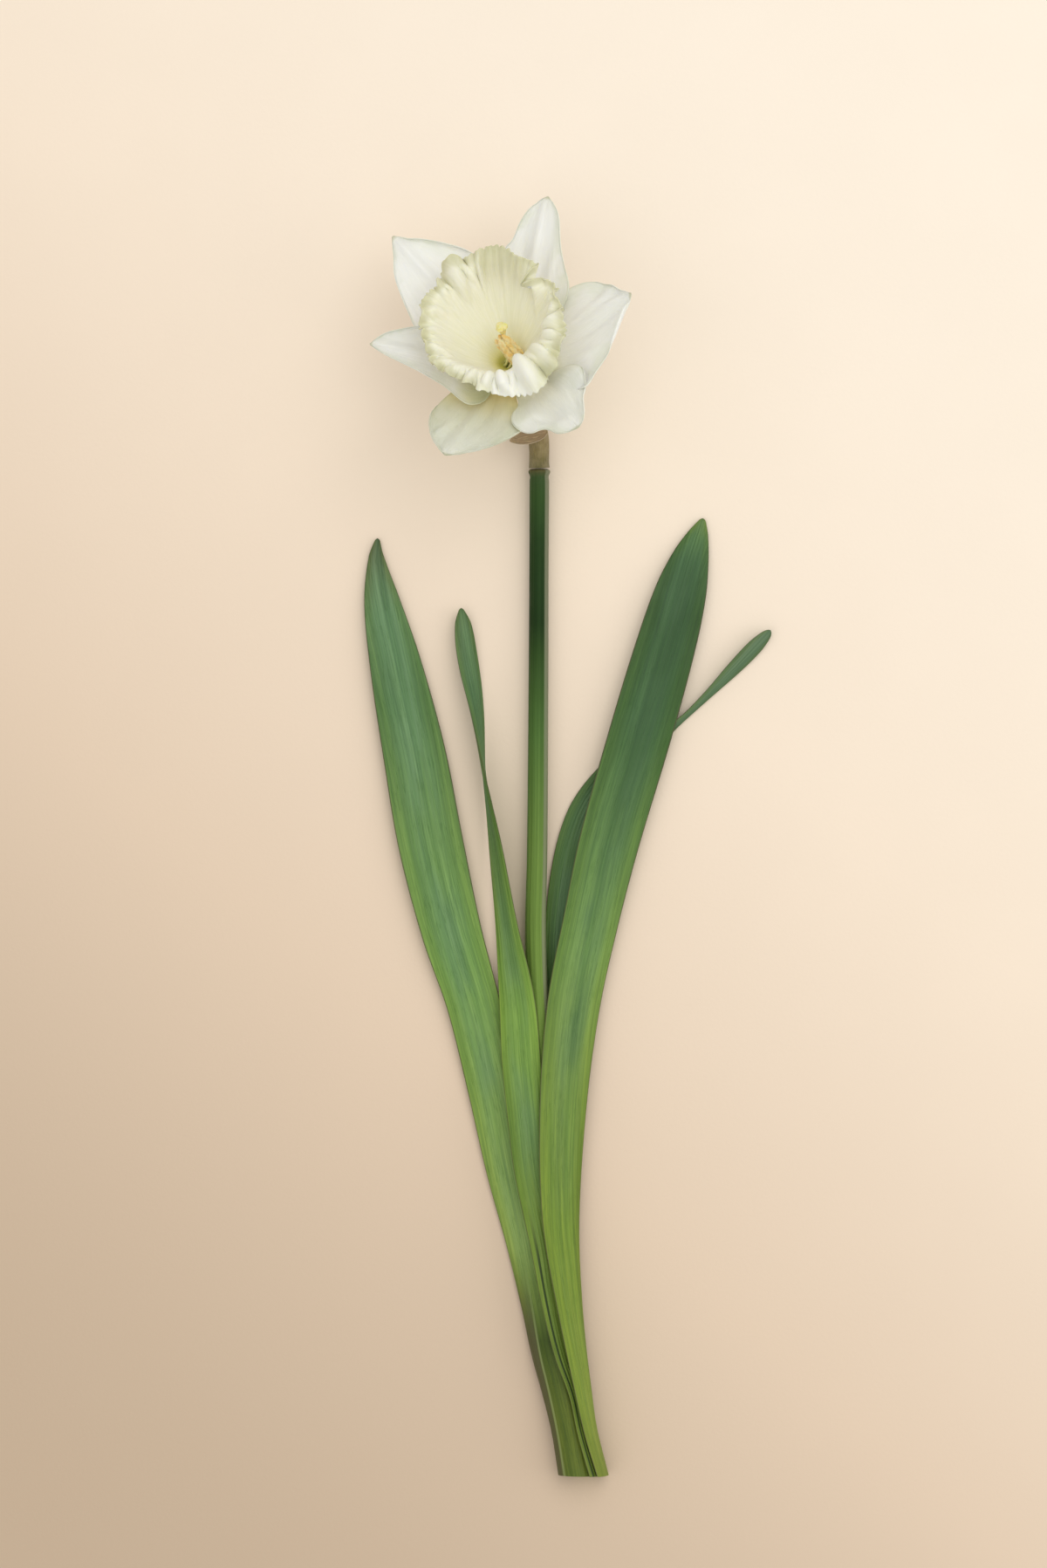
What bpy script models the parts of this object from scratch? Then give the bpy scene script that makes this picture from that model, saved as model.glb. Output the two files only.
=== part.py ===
"""A narcissus cut with its leaves and laid down on a surface.

The stem lies along +Y with the cut foot at -Y, +Z is up, and the open bloom looks up and a little ahead.
One object for each grown piece: scape, spathe, ovary tube, perianth, corona, stamens, style and four leaves.
Stations are in millimetres; MM turns them into metres.
"""

import math

import bmesh
import bpy
from mathutils import Matrix, Vector

MM = 0.001

# Driving dimensions, in mm.
FOOT_Y = -204.3  # where the knife cut stem and leaves across
FOOT_SPARE = 6.0  # length modelled past the cut and trimmed off
GAP = 0.3  # clearance between neighbouring pieces
SCAPE_R = 3.3
JOINT_Y = 118.0  # ring where the scape ends and the spathe starts
LEAF_ROWS = 30
SPATHE_ROWS = 13
SPATHE_COLUMNS = 11
SPATHE_T = 0.6
LEAF_COLUMNS = 6  # points across a blade: even, so that a flat strip runs down its middle
MARGIN_SHARE = 0.6  # a blade's thickness at its margins, as a share of the middle

# The bloom's own frame: its origin is where the tepals part, its +Z looks out of the trumpet.
BLOOM_PLACE = (-17.9, 151.2, 33.0)
BLOOM_LEAN = 33.0  # degrees off upright
BLOOM_HEADING = 117.0  # degrees from +X, the way it leans
HUB_R = 7.0
CORONA_DEPTH = 25.5
CORONA_FOOT_R = 6.6
CORONA_RIM_R = 24.0
CORONA_WALL = 0.8
RUFFLES = 9
HUB_TOP = 2.3  # top of the hub that the tepals grow from, in the bloom's frame
HUB_DEPTH = 2.2
TEPAL_T = 0.9
STAMEN_R = 2.8  # distance of the six stamens from the bloom's axis
STAMEN_RING_R = 0.8
FILAMENT_R = 0.5
FILAMENT_LENGTH = 7.6
ANTHER_R = 1.0
ANTHER_LENGTH = 9.2
STYLE_LENGTH = 20.0
PRESS = 0.35  # undersides this close to the surface lie flat on it

# A blade's stations: x, y, z of its middle, width, roll (right side up, in degrees), and the arc in
# degrees that its section bends through (above 0 the margins hang, below 0 they rise).
LEAF_LEFT = (
    (0.5, -204.3, 8.6, 15.4, 35.0, 128.0),
    (-2.0, -190.0, 8.6, 13.2, 37.0, 108.0),
    (-4.5, -178.0, 7.8, 13.2, 36.0, 92.0),
    (-7.6, -165.0, 7.0, 12.4, 33.0, 70.0),
    (-10.1, -150.0, 5.9, 12.6, 29.0, 54.0),
    (-13.6, -130.0, 4.8, 14.0, 22.0, 40.0),
    (-18.4, -106.5, 4.0, 16.0, 13.0, 26.0),
    (-23.7, -80.0, 3.2, 16.8, 6.0, 4.0),
    (-30.1, -53.3, 2.4, 17.2, 0.0, -12.0),
    (-37.3, -29.5, 2.1, 19.4, -2.0, -20.0),
    (-43.9, -1.5, 2.1, 21.0, -4.0, -20.0),
    (-49.0, 26.5, 2.1, 20.2, -5.0, -16.0),
    (-54.9, 54.5, 2.2, 16.8, -6.0, -12.0),
    (-59.4, 75.5, 1.8, 11.6, -4.0, -8.0),
    (-61.2, 89.5, 1.3, 5.2, 0.0, 0.0),
    (-60.8, 95.9, 1.0, 1.2, 0.0, 0.0),
)
LEAF_NARROW = (
    (9.8, -204.3, 8.2, 8.0, -61.0, 50.0),
    (5.7, -190.0, 9.9, 6.8, -51.0, 40.0),
    (3.5, -178.0, 10.0, 7.2, -43.0, 34.0),
    (-0.4, -165.0, 10.6, 8.2, -31.0, 26.0),
    (-3.5, -150.0, 10.8, 9.4, -24.0, 22.0),
    (-6.3, -130.0, 10.3, 11.4, -14.0, 20.0),
    (-10.8, -106.5, 9.9, 12.4, -5.0, 16.0),
    (-13.3, -85.0, 9.8, 12.7, 0.0, 16.0),
    (-14.8, -71.0, 8.9, 12.6, 7.0, 14.0),
    (-16.1, -53.3, 8.2, 12.3, 21.0, 12.0),
    (-19.4, -29.5, 7.7, 11.6, 52.0, 10.0),
    (-23.4, -1.5, 6.4, 11.0, 70.0, 10.0),
    (-26.6, 19.5, 5.7, 10.0, 90.0, 10.0),
    (-29.1, 40.5, 4.8, 8.8, 120.0, 8.0),
    (-32.2, 59.0, 3.8, 7.4, 152.0, 4.0),
    (-33.4, 68.5, 3.3, 5.4, 162.0, 0.0),
    (-34.0, 73.5, 3.0, 1.2, 165.0, 0.0),
)
LEAF_RIGHT = (
    (12.4, -204.3, 6.4, 10.6, -76.0, 70.0),
    (8.6, -190.0, 8.0, 11.2, -71.0, 66.0),
    (6.4, -178.0, 9.2, 11.8, -65.0, 60.0),
    (1.9, -150.0, 10.4, 13.4, -52.0, 48.0),
    (-1.2, -120.5, 10.2, 15.4, -37.0, 42.0),
    (-0.9, -85.5, 9.0, 17.0, -26.0, 34.0),
    (2.4, -53.3, 7.2, 17.9, -18.0, 20.0),
    (8.0, -25.3, 5.8, 18.2, -12.0, 8.0),
    (13.4, -1.5, 5.0, 19.4, -8.0, -8.0),
    (23.5, 33.5, 4.6, 20.2, -6.0, -16.0),
    (31.6, 61.5, 3.8, 19.2, -5.0, -16.0),
    (36.4, 78.5, 2.8, 16.6, -3.0, -12.0),
    (39.6, 89.5, 1.9, 12.0, -1.0, -8.0),
    (42.2, 97.5, 1.3, 6.4, 0.0, 0.0),
    (43.7, 102.3, 1.0, 1.4, 0.0, 0.0),
)
LEAF_BACK = (
    (5.4, -204.3, 0.7, 8.4, 0.0, -110.0),
    (1.9, -180.0, 0.7, 8.6, 0.0, -104.0),
    (-1.0, -150.0, 0.7, 9.0, 0.0, -90.0),
    (-4.2, -106.5, 0.7, 9.6, 2.0, -60.0),
    (-3.0, -60.0, 0.8, 10.0, 4.0, -30.0),
    (-1.0, -20.0, 0.9, 10.8, 4.0, -24.0),
    (4.8, 6.0, 1.0, 10.6, 2.0, -16.0),
    (16.0, 22.0, 1.0, 9.4, 0.0, -8.0),
    (29.0, 34.0, 1.2, 7.4, -6.0, 0.0),
    (42.0, 44.6, 2.2, 5.6, -20.0, 0.0),
    (54.6, 55.0, 3.0, 4.2, -30.0, 0.0),
    (65.0, 66.2, 3.4, 1.2, -30.0, 0.0),
)
# The scape's stations: x, y, z of its middle and its radius.
SCAPE = (
    (5.6, -204.3, 4.95, 3.3),
    (1.8, -180.0, 4.95, 3.3),
    (-1.0, -150.0, 4.95, 3.3),
    (-4.2, -115.0, 4.95, 3.3),
    (-6.9, -85.0, 5.05, 3.3),
    (-9.3, -53.0, 5.2, 3.35),
    (-10.1, -30.0, 5.0, 3.35),
    (-9.6, -5.0, 4.6, 3.3),
    (-9.2, 45.0, 3.8, 3.2),
    (-9.0, 90.0, 3.4, 3.1),
    (-8.9, JOINT_Y - 1.0, 3.5, 3.2),
    (-8.9, JOINT_Y, 3.5, 3.0),
)
# Pedicel, ovary and floral tube on one line: x, y, z and radius.
OVARY_TUBE = (
    (-8.9, JOINT_Y + 0.3, 3.6, 2.1),
    (-9.0, 124.0, 4.0, 2.0),
    (-9.4, 130.5, 5.3, 2.1),
    (-10.4, 136.4, 8.8, 3.4),
    (-11.6, 139.6, 13.4, 3.9),
    (-12.9, 142.2, 18.4, 3.1),
    (-14.4, 144.8, 23.4, 2.9),
    (-16.0, 147.6, 27.6, 3.3),
    (-17.3, 150.0, 30.9, 4.3),
    (-17.8, 150.95, 32.5, 4.9),
)
# The spathe's stations, as a blade's: a near-closed sheath that opens and turns off to the left.
SPATHE = (
    (-8.9, 118.3, 6.6, 17.4, 0.0, 318.0),
    (-8.9, 122.0, 7.0, 17.2, 0.0, 300.0),
    (-9.1, 124.8, 7.8, 14.0, 0.0, 210.0),
    (-10.4, 127.0, 9.1, 7.6, 0.0, 90.0),
    (-13.2, 128.2, 9.4, 5.2, 4.0, 60.0),
    (-16.0, 128.0, 8.8, 3.6, 4.0, 30.0),
    (-18.4, 127.0, 7.6, 1.2, 0.0, 0.0),
)
# Tepals in the bloom's frame: azimuth of the tip, reach of the tip from the axis, its height, the
# greatest width, how far the margins cup up, and which whorl it stands in (0 back, 1 front).
TEPALS = (
    (72.0, 47.0, 20.0, 27.0, 30.0, 1),
    (136.0, 49.5, 22.0, 30.0, 34.0, 0),
    (185.0, 40.5, 18.0, 25.0, 50.0, 1),
    (250.0, 43.5, 12.0, 34.0, 46.0, 0),
    (308.0, 44.5, 12.0, 33.0, 50.0, 1),
    (10.5, 45.0, 18.0, 34.0, 30.0, 0),
)


def clear_scene():
    """Removes whatever the scene holds."""
    for found in list(bpy.data.objects):
        bpy.data.objects.remove(found, do_unlink=True)


def make_material(name, colour, roughness):
    """A Principled material with one colour and roughness."""
    made = bpy.data.materials.new(name)
    made.use_nodes = True
    shader = made.node_tree.nodes["Principled BSDF"]
    shader.inputs["Base Color"].default_value = (*colour, 1.0)
    shader.inputs["Roughness"].default_value = roughness
    return made


def smooth_run(stations, count):
    """Points read off a smooth curve through the stations, evenly spaced along it."""
    length = [0.0]
    for before, after in zip(stations, stations[1:]):
        length.append(length[-1] + (Vector(after[:3]) - Vector(before[:3])).length)
    slopes = []
    last = len(stations) - 1
    for i in range(last + 1):
        low, high = max(i - 1, 0), min(i + 1, last)
        span = length[high] - length[low]
        slopes.append([(b - a) / span for a, b in zip(stations[low], stations[high])])
    points = []
    for k in range(count):
        at = length[-1] * k / (count - 1)
        i = max(j for j in range(last) if length[j] <= at + 1e-9)
        span = length[i + 1] - length[i]
        t = (at - length[i]) / span
        ease = 3 * t**2 - 2 * t**3
        lead = (t**3 - 2 * t**2 + t) * span
        trail = (t**3 - t**2) * span
        rows = zip(stations[i], stations[i + 1], slopes[i], slopes[i + 1])
        points.append([a + (b - a) * ease + m * lead + n * trail for a, b, m, n in rows])
    return points


def grid_mesh(name, rows, around=False):
    """An open sheet of triangles through rows of points, in mm; around joins each row's ends."""
    sheet = bmesh.new()
    verts = [[sheet.verts.new(Vector(point) * MM) for point in row] for row in rows]
    columns = len(rows[0])
    for i in range(len(rows) - 1):
        for j in range(columns if around else columns - 1):
            a, b = verts[i][j], verts[i][(j + 1) % columns]
            c, d = verts[i + 1][(j + 1) % columns], verts[i + 1][j]
            if (i + j) % 2:
                sheet.faces.new((a, b, c))
                sheet.faces.new((a, c, d))
            else:
                sheet.faces.new((a, b, d))
                sheet.faces.new((b, c, d))
    mesh = bpy.data.meshes.new(name)
    sheet.to_mesh(mesh)
    sheet.free()
    return mesh


def add_object(name, mesh, material, home, parent=None):
    """Links a mesh into the scene as an object of one material."""
    made = bpy.data.objects.new(name, mesh)
    if material:
        mesh.materials.append(material)
    home.objects.link(made)
    made.parent = parent
    return made


def thicken(thing, thickness, offset=0.0, columns=0):
    """Gives a sheet its thickness, thinner towards the margins of each row where columns is given."""
    solid = thing.modifiers.new("thickness", "SOLIDIFY")
    solid.thickness = thickness * MM
    solid.offset = offset
    solid.use_even_offset = False
    if columns:
        group = thing.vertex_groups.new(name="middle")
        for vert in thing.data.vertices:
            across = abs(2.0 * (vert.index % columns) / (columns - 1) - 1.0)
            group.add([vert.index], 1.0 - (1.0 - MARGIN_SHARE) * across**2, "REPLACE")
        solid.vertex_group = group.name
        solid.thickness_vertex_group = 0.0
    return solid


def apply_modifiers(thing):
    """Swaps the object's mesh for the one its modifiers make."""
    bpy.context.view_layer.update()
    evaluated = thing.evaluated_get(bpy.context.evaluated_depsgraph_get())
    mesh = bpy.data.meshes.new_from_object(evaluated)
    thing.modifiers.clear()
    thing.data = mesh
    return mesh


def blade_rows(stations, rows, columns):
    """Rows of points of a blade: each row is an arc across the blade's line, turned by its roll."""
    run = smooth_run(stations, rows)
    places = [Vector(point[:3]) for point in run]
    sheet = []
    for i, (_, _, _, width, roll, arc) in enumerate(run):
        along = (places[min(i + 1, rows - 1)] - places[max(i - 1, 0)]).normalized()
        level = along.cross(Vector((0.0, 0.0, 1.0))).normalized()
        level = Matrix.Rotation(-math.radians(roll), 3, along) @ level
        outward = level.cross(along)
        bend = math.radians(arc) or 1e-4
        radius = width / bend
        row = []
        for j in range(columns):
            turn = bend * (j / (columns - 1) - 0.5)
            row.append(places[i] + level * radius * math.sin(turn) + outward * radius * (math.cos(turn) - 1.0))
        sheet.append(row)
    return sheet


def foot_first(stations):
    """The stations with one more, run on past the cut."""
    first, second = stations[0], stations[1]
    step = FOOT_SPARE / (second[1] - first[1])
    return ((*(a - (b - a) * step for a, b in zip(first, second)),), *stations)


def trim_foot(thing):
    """Cuts the object square across at the foot, closes the cut and presses its underside flat."""
    mesh = apply_modifiers(thing)
    work = bmesh.new()
    work.from_mesh(mesh)
    cut = Vector((0.0, FOOT_Y * MM, 0.0))
    every = work.verts[:] + work.edges[:] + work.faces[:]
    bmesh.ops.bisect_plane(work, geom=every, plane_co=cut, plane_no=(0.0, 1.0, 0.0), clear_inner=True)
    rim = [edge for edge in work.edges if edge.is_boundary]
    bmesh.ops.contextual_create(work, geom=rim)
    bmesh.ops.triangulate(work, faces=work.faces[:])
    bmesh.ops.recalc_face_normals(work, faces=work.faces[:])
    for vert in work.verts:
        if vert.co.z < PRESS * MM:
            vert.co.z = 0.0
    work.to_mesh(mesh)
    work.free()


def make_leaf(name, stations, thickness, material, home):
    """One leaf, from the cut to its tip."""
    sheet = blade_rows(foot_first(stations), LEAF_ROWS, LEAF_COLUMNS)
    leaf = add_object(name, grid_mesh(name, sheet), material, home)
    thicken(leaf, thickness, 0.0, LEAF_COLUMNS)
    trim_foot(leaf)
    leaf.data.shade_smooth()
    leaf.data.set_sharp_from_angle(angle=math.radians(50.0))
    return leaf


def make_stalk(name, stations, count, material, home):
    """A round stalk through its stations, as a curve with a bevel, turned into a closed mesh."""
    curve = bpy.data.curves.new(name, "CURVE")
    curve.dimensions = "3D"
    curve.twist_mode = "Z_UP"
    curve.bevel_depth = MM
    curve.bevel_resolution = 4
    curve.use_fill_caps = True
    line = curve.splines.new("POLY")
    run = smooth_run(stations, count)
    line.points.add(count - 1)
    for point, (x, y, z, radius) in zip(line.points, run):
        point.co = (x * MM, y * MM, z * MM, 1.0)
        point.radius = radius
    stalk = bpy.data.objects.new(name, curve)
    home.objects.link(stalk)
    bpy.context.view_layer.update()
    mesh = bpy.data.meshes.new_from_object(stalk.evaluated_get(bpy.context.evaluated_depsgraph_get()))
    bpy.data.objects.remove(stalk, do_unlink=True)
    work = bmesh.new()
    work.from_mesh(mesh)
    bmesh.ops.remove_doubles(work, verts=work.verts[:], dist=1e-6)
    bmesh.ops.triangulate(work, faces=work.faces[:])
    work.to_mesh(mesh)
    work.free()
    mesh.materials.clear()
    made = add_object(name, mesh, material, home)
    mesh.shade_smooth()
    return made


def make_scape(material, home):
    """The flower stem, cut square at the foot."""
    scape = make_stalk("scape", foot_first(SCAPE), 34, material, home)
    trim_foot(scape)
    scape.data.shade_smooth()
    scape.data.set_sharp_from_angle(angle=math.radians(50.0))
    return scape


def make_spathe(material, home):
    """The papery sheath round the pedicel, with its loose flap."""
    sheet = blade_rows(SPATHE, SPATHE_ROWS, SPATHE_COLUMNS)
    spathe = add_object("spathe", grid_mesh("spathe", sheet), material, home)
    thicken(spathe, SPATHE_T)
    return spathe


def bloom_frame(home):
    """An empty at the bloom's origin, leaning as the bloom leans."""
    frame = bpy.data.objects.new("bloom_frame", None)
    heading = math.radians(BLOOM_HEADING)
    hinge = Vector((-math.sin(heading), math.cos(heading), 0.0))
    frame.matrix_world = Matrix.Translation(Vector(BLOOM_PLACE) * MM) @ Matrix.Rotation(
        math.radians(BLOOM_LEAN), 4, hinge
    )
    home.objects.link(frame)
    return frame


def tepal_rows(azimuth, reach, height, width, cup, whorl):
    """Rows of one tepal from the bloom's axis to its tip, cupped across and swept up along."""
    rows, columns = 13, 9
    turn = Matrix.Rotation(math.radians(azimuth), 3, "Z")
    start = 3.0
    sheet = []
    for i in range(rows):
        t = i / (rows - 1)
        out = start + (reach - start) * t
        rise = 0.8 + whorl * 1.5 * min(1.0, 3.0 * t) + height * t**1.5
        half = 0.5 * width * (0.26 + 0.74 * math.sin(math.pi * min(1.0, t * 0.9 + 0.12)) ** 0.8)
        half *= min(1.0, (1.04 - t) / 0.3) ** 0.6
        bend = math.radians(cup) * math.sin(math.pi * min(1.0, t + 0.1)) + 1e-3
        row = []
        for j in range(columns):
            side = 2.0 * j / (columns - 1) - 1.0
            angle = bend * side
            across = half * math.sin(angle) / bend
            lift = half * (1.0 - math.cos(angle)) / bend
            row.append(turn @ Vector((out - 0.12 * lift, across, rise + lift)))
        sheet.append(row)
    return sheet


def make_perianth(material, home, frame):
    """Six tepals on one hub, joined into a single solid."""
    parts = bpy.data.collections.new("perianth_parts")
    bpy.context.scene.collection.children.link(parts)
    for i, tepal in enumerate(TEPALS):
        name = f"tepal_{i + 1}"
        petal = add_object(name, grid_mesh(name, tepal_rows(*tepal)), None, parts, frame)
        thicken(petal, TEPAL_T)
    bpy.ops.mesh.primitive_cylinder_add(vertices=24, radius=HUB_R * MM, depth=HUB_DEPTH * MM)
    hub = bpy.context.object
    hub.name = "perianth"
    for owner in list(hub.users_collection):
        owner.objects.unlink(hub)
    home.objects.link(hub)
    hub.parent = frame
    hub.location = (0.0, 0.0, (HUB_TOP - HUB_DEPTH / 2.0) * MM)
    hub.data.materials.append(material)
    join = hub.modifiers.new("join", "BOOLEAN")
    join.operation = "UNION"
    join.operand_type = "COLLECTION"
    join.collection = parts
    join.solver = "EXACT"
    apply_modifiers(hub)
    for petal in list(parts.objects):
        bpy.data.objects.remove(petal, do_unlink=True)
    bpy.data.collections.remove(parts)
    return hub


def make_corona(material, home, frame):
    """The trumpet: a funnel whose rim is ruffled."""
    steps, sides = 10, RUFFLES * 6
    foot = HUB_TOP + GAP + CORONA_WALL / 2.0
    sheet = []
    for i in range(steps + 1):
        t = i / steps
        row = []
        for j in range(sides):
            angle = 2.0 * math.pi * j / sides
            wave = math.cos(RUFFLES * angle) + 0.35 * math.cos(2.0 * angle + 1.1)
            reach = CORONA_FOOT_R + (CORONA_RIM_R - CORONA_FOOT_R) * (0.52 * t + 0.48 * t**3)
            reach += 1.5 * wave * t**4
            rise = CORONA_DEPTH * (t - 0.16 * t**5) + 1.3 * math.sin(RUFFLES * angle) * t**6
            row.append((reach * math.cos(angle), reach * math.sin(angle), foot + rise))
        sheet.append(row)
    corona = add_object("corona", grid_mesh("corona", sheet, around=True), material, home, frame)
    thicken(corona, CORONA_WALL)
    return corona


def make_stamens(material, home, frame):
    """Six filaments with long anthers, standing on one small ring."""
    parts = bpy.data.collections.new("stamen_parts")
    bpy.context.scene.collection.children.link(parts)
    foot = HUB_TOP + GAP
    for i in range(6):
        angle = math.radians(60.0 * i + 10.0)
        ring = Vector((math.cos(angle), math.sin(angle), 0.0))
        bpy.ops.mesh.primitive_cylinder_add(vertices=6, radius=FILAMENT_R * MM, depth=FILAMENT_LENGTH * MM)
        filament = bpy.context.object
        filament.location = (ring * STAMEN_R + Vector((0.0, 0.0, foot + 0.6 + FILAMENT_LENGTH / 2.0))) * MM
        bpy.ops.mesh.primitive_uv_sphere_add(segments=6, ring_count=6, radius=ANTHER_R * MM)
        anther = bpy.context.object
        anther.scale = (1.0, 1.0, 0.5 * ANTHER_LENGTH / ANTHER_R)
        anther.location = (ring * STAMEN_R + Vector((0.0, 0.0, foot + FILAMENT_LENGTH + ANTHER_LENGTH / 2.0))) * MM
        for piece in (filament, anther):
            for owner in list(piece.users_collection):
                owner.objects.unlink(piece)
            parts.objects.link(piece)
            piece.parent = frame
    bpy.ops.mesh.primitive_torus_add(
        major_radius=STAMEN_R * MM, minor_radius=STAMEN_RING_R * MM, major_segments=24, minor_segments=6
    )
    ring = bpy.context.object
    ring.name = "stamens"
    for owner in list(ring.users_collection):
        owner.objects.unlink(ring)
    home.objects.link(ring)
    ring.parent = frame
    ring.location = (0.0, 0.0, (foot + STAMEN_RING_R) * MM)
    ring.data.materials.append(material)
    join = ring.modifiers.new("join", "BOOLEAN")
    join.operation = "UNION"
    join.operand_type = "COLLECTION"
    join.collection = parts
    join.solver = "EXACT"
    apply_modifiers(ring)
    for piece in list(parts.objects):
        bpy.data.objects.remove(piece, do_unlink=True)
    bpy.data.collections.remove(parts)
    return ring


def make_style(material, home, frame):
    """The style and its stigma, on the bloom's axis."""
    foot = HUB_TOP + GAP
    top = foot + STYLE_LENGTH
    profile = ((foot, 0.0), (foot, 0.9), (top - 2.5, 0.8), (top - 1.5, 1.7), (top - 0.4, 1.6), (top, 0.0))
    mesh = bpy.data.meshes.new("style")
    points = [(radius * MM, 0.0, height * MM) for height, radius in reversed(profile)]
    mesh.from_pydata(points, [(k, k + 1) for k in range(len(points) - 1)], [])
    style = add_object("style", mesh, material, home, frame)
    turn = style.modifiers.new("turn", "SCREW")
    turn.steps = 12
    turn.render_steps = 12
    turn.use_merge_vertices = True
    turn.merge_threshold = 0.00001
    return style


def main():
    clear_scene()
    home = bpy.data.collections.new("narcissus_flower")
    bpy.context.scene.collection.children.link(home)
    leaf_green = make_material("leaf", (0.16, 0.25, 0.13), 0.55)
    scape_green = make_material("scape", (0.17, 0.28, 0.12), 0.5)
    spathe_tan = make_material("spathe", (0.42, 0.31, 0.19), 0.7)
    tube_green = make_material("ovary_tube", (0.42, 0.5, 0.24), 0.5)
    tepal_white = make_material("tepal", (0.86, 0.87, 0.83), 0.55)
    corona_cream = make_material("corona", (0.8, 0.78, 0.62), 0.55)
    anther_orange = make_material("anther", (0.85, 0.5, 0.16), 0.7)
    stigma_yellow = make_material("stigma", (0.87, 0.8, 0.38), 0.5)

    make_leaf("leaf_left", LEAF_LEFT, 1.4, leaf_green, home)
    make_leaf("leaf_narrow", LEAF_NARROW, 1.2, leaf_green, home)
    make_leaf("leaf_right", LEAF_RIGHT, 1.4, leaf_green, home)
    make_leaf("leaf_back", LEAF_BACK, 1.2, leaf_green, home)
    make_scape(scape_green, home)
    make_stalk("ovary_tube", OVARY_TUBE, 22, tube_green, home)
    make_spathe(spathe_tan, home)
    frame = bloom_frame(home)
    make_perianth(tepal_white, home, frame)
    make_corona(corona_cream, home, frame)
    make_stamens(anther_orange, home, frame)
    make_style(stigma_yellow, home, frame)


main()
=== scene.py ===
# %% [markdown]
# # A cut narcissus, laid down with its leaves
# The flower lies on its back on a pale table: the stem and four strap leaves run along +Y from the cut
# foot, and the open bloom looks up and a little ahead. Every piece here is grown tissue, so nothing is
# straight, nothing is one flat colour, and every edge is thin and a little uneven. The solids from the
# CAD step fix the size and place of each piece, so they are loaded first and never moved.

# %% Load the fixed frame
import math

import bmesh
import bpy
import numpy as np
from mathutils import Matrix, Vector


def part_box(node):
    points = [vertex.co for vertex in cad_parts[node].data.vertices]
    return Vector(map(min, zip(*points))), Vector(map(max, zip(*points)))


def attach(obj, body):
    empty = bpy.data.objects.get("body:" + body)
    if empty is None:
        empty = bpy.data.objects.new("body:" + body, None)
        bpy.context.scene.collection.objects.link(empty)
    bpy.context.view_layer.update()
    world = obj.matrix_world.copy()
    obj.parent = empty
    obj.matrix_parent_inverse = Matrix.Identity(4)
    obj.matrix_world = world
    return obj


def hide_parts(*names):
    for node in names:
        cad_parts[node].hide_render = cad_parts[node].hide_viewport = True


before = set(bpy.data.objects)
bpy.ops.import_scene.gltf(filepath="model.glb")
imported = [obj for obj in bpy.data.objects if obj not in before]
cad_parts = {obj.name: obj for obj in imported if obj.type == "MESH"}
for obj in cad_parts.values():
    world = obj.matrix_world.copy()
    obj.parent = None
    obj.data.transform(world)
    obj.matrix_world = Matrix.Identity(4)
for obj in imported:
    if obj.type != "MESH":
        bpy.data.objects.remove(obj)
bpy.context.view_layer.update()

scene = bpy.context.scene
MM = 0.001  # stations are in millimetres, Blender works in metres
FOOT_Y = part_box("scape")[0].y / MM
print("solids:", len(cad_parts), "foot at", round(FOOT_Y, 1), "mm")

# %% [markdown]
# ## Smooth runs through stations
# A leaf or a stem changes width, tilt and curl along its length. The plain way is to write those values
# down at a dozen stations and let a smooth curve fill in the rest. A cubic through the stations passes
# exactly through each one, so a measured width stays a measured width.


# %% Read values off a smooth curve
def run_through(stations, shares):
    """Values at these shares of the length of a smooth curve through the stations, and the lengths there."""
    table = np.array(stations, float)
    steps = np.linalg.norm(np.diff(table[:, :3], axis=0), axis=1)
    length = np.concatenate([[0.0], np.cumsum(steps)])
    slopes = np.empty_like(table)
    slopes[1:-1] = (table[2:] - table[:-2]) / (length[2:] - length[:-2])[:, None]
    slopes[0] = (table[1] - table[0]) / steps[0]
    slopes[-1] = (table[-1] - table[-2]) / steps[-1]
    at = np.asarray(shares) * length[-1]
    i = np.clip(np.searchsorted(length, at, side="right") - 1, 0, len(table) - 2)
    span = steps[i][:, None]
    t = (at - length[i])[:, None] / span
    ease = 3 * t**2 - 2 * t**3
    lead = (t**3 - 2 * t**2 + t) * span
    trail = (t**3 - t**2) * span
    return table[i] + (table[i + 1] - table[i]) * ease + slopes[i] * lead + slopes[i + 1] * trail, at


def smoothstep(value, low, high):
    """0 below low, 1 above high, and an easy slope between."""
    t = np.clip((np.asarray(value, float) - low) / (high - low), 0.0, 1.0)
    return t * t * (3.0 - 2.0 * t)


def hump(value, middle, half, power=2):
    """1 at the middle, about a third at the half width, then 0; a higher power makes it squarer."""
    return np.exp(-(((value - middle) / half) ** power))


def ripple(x, y, seed, waves=6):
    """A smooth, uneven swell between about -1 and 1: a few crossed waves with seeded directions."""
    dice = np.random.default_rng(seed)
    total = np.zeros(np.broadcast(x, y).shape)
    for _ in range(waves):
        heading, speed, phase = dice.uniform(0, 2 * np.pi), dice.uniform(0.5, 1.6), dice.uniform(0, 2 * np.pi)
        total += np.sin(speed * (np.cos(heading) * x + np.sin(heading) * y) + phase)
    return total / math.sqrt(waves) / 1.5


test_run, _ = run_through(((0, 0, 0, 1), (0, 5, 0, 3), (0, 9, 0, 1)), (0, 0.5, 1))
print("smooth run of a three-station test:", test_run[:, 3].round(2))

# %% [markdown]
# ## From rows of points to a mesh
# Every piece is a net of points: rows along it and columns across or round it. One helper turns such a net
# into a mesh and stores two facts at each point for the finishes to use. `growth` is the distance across
# and along in millimetres, so that veins keep their spacing. `place` is the share across (-1 to 1), the
# share along (0 to 1), and 1 on the upper face.


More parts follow.
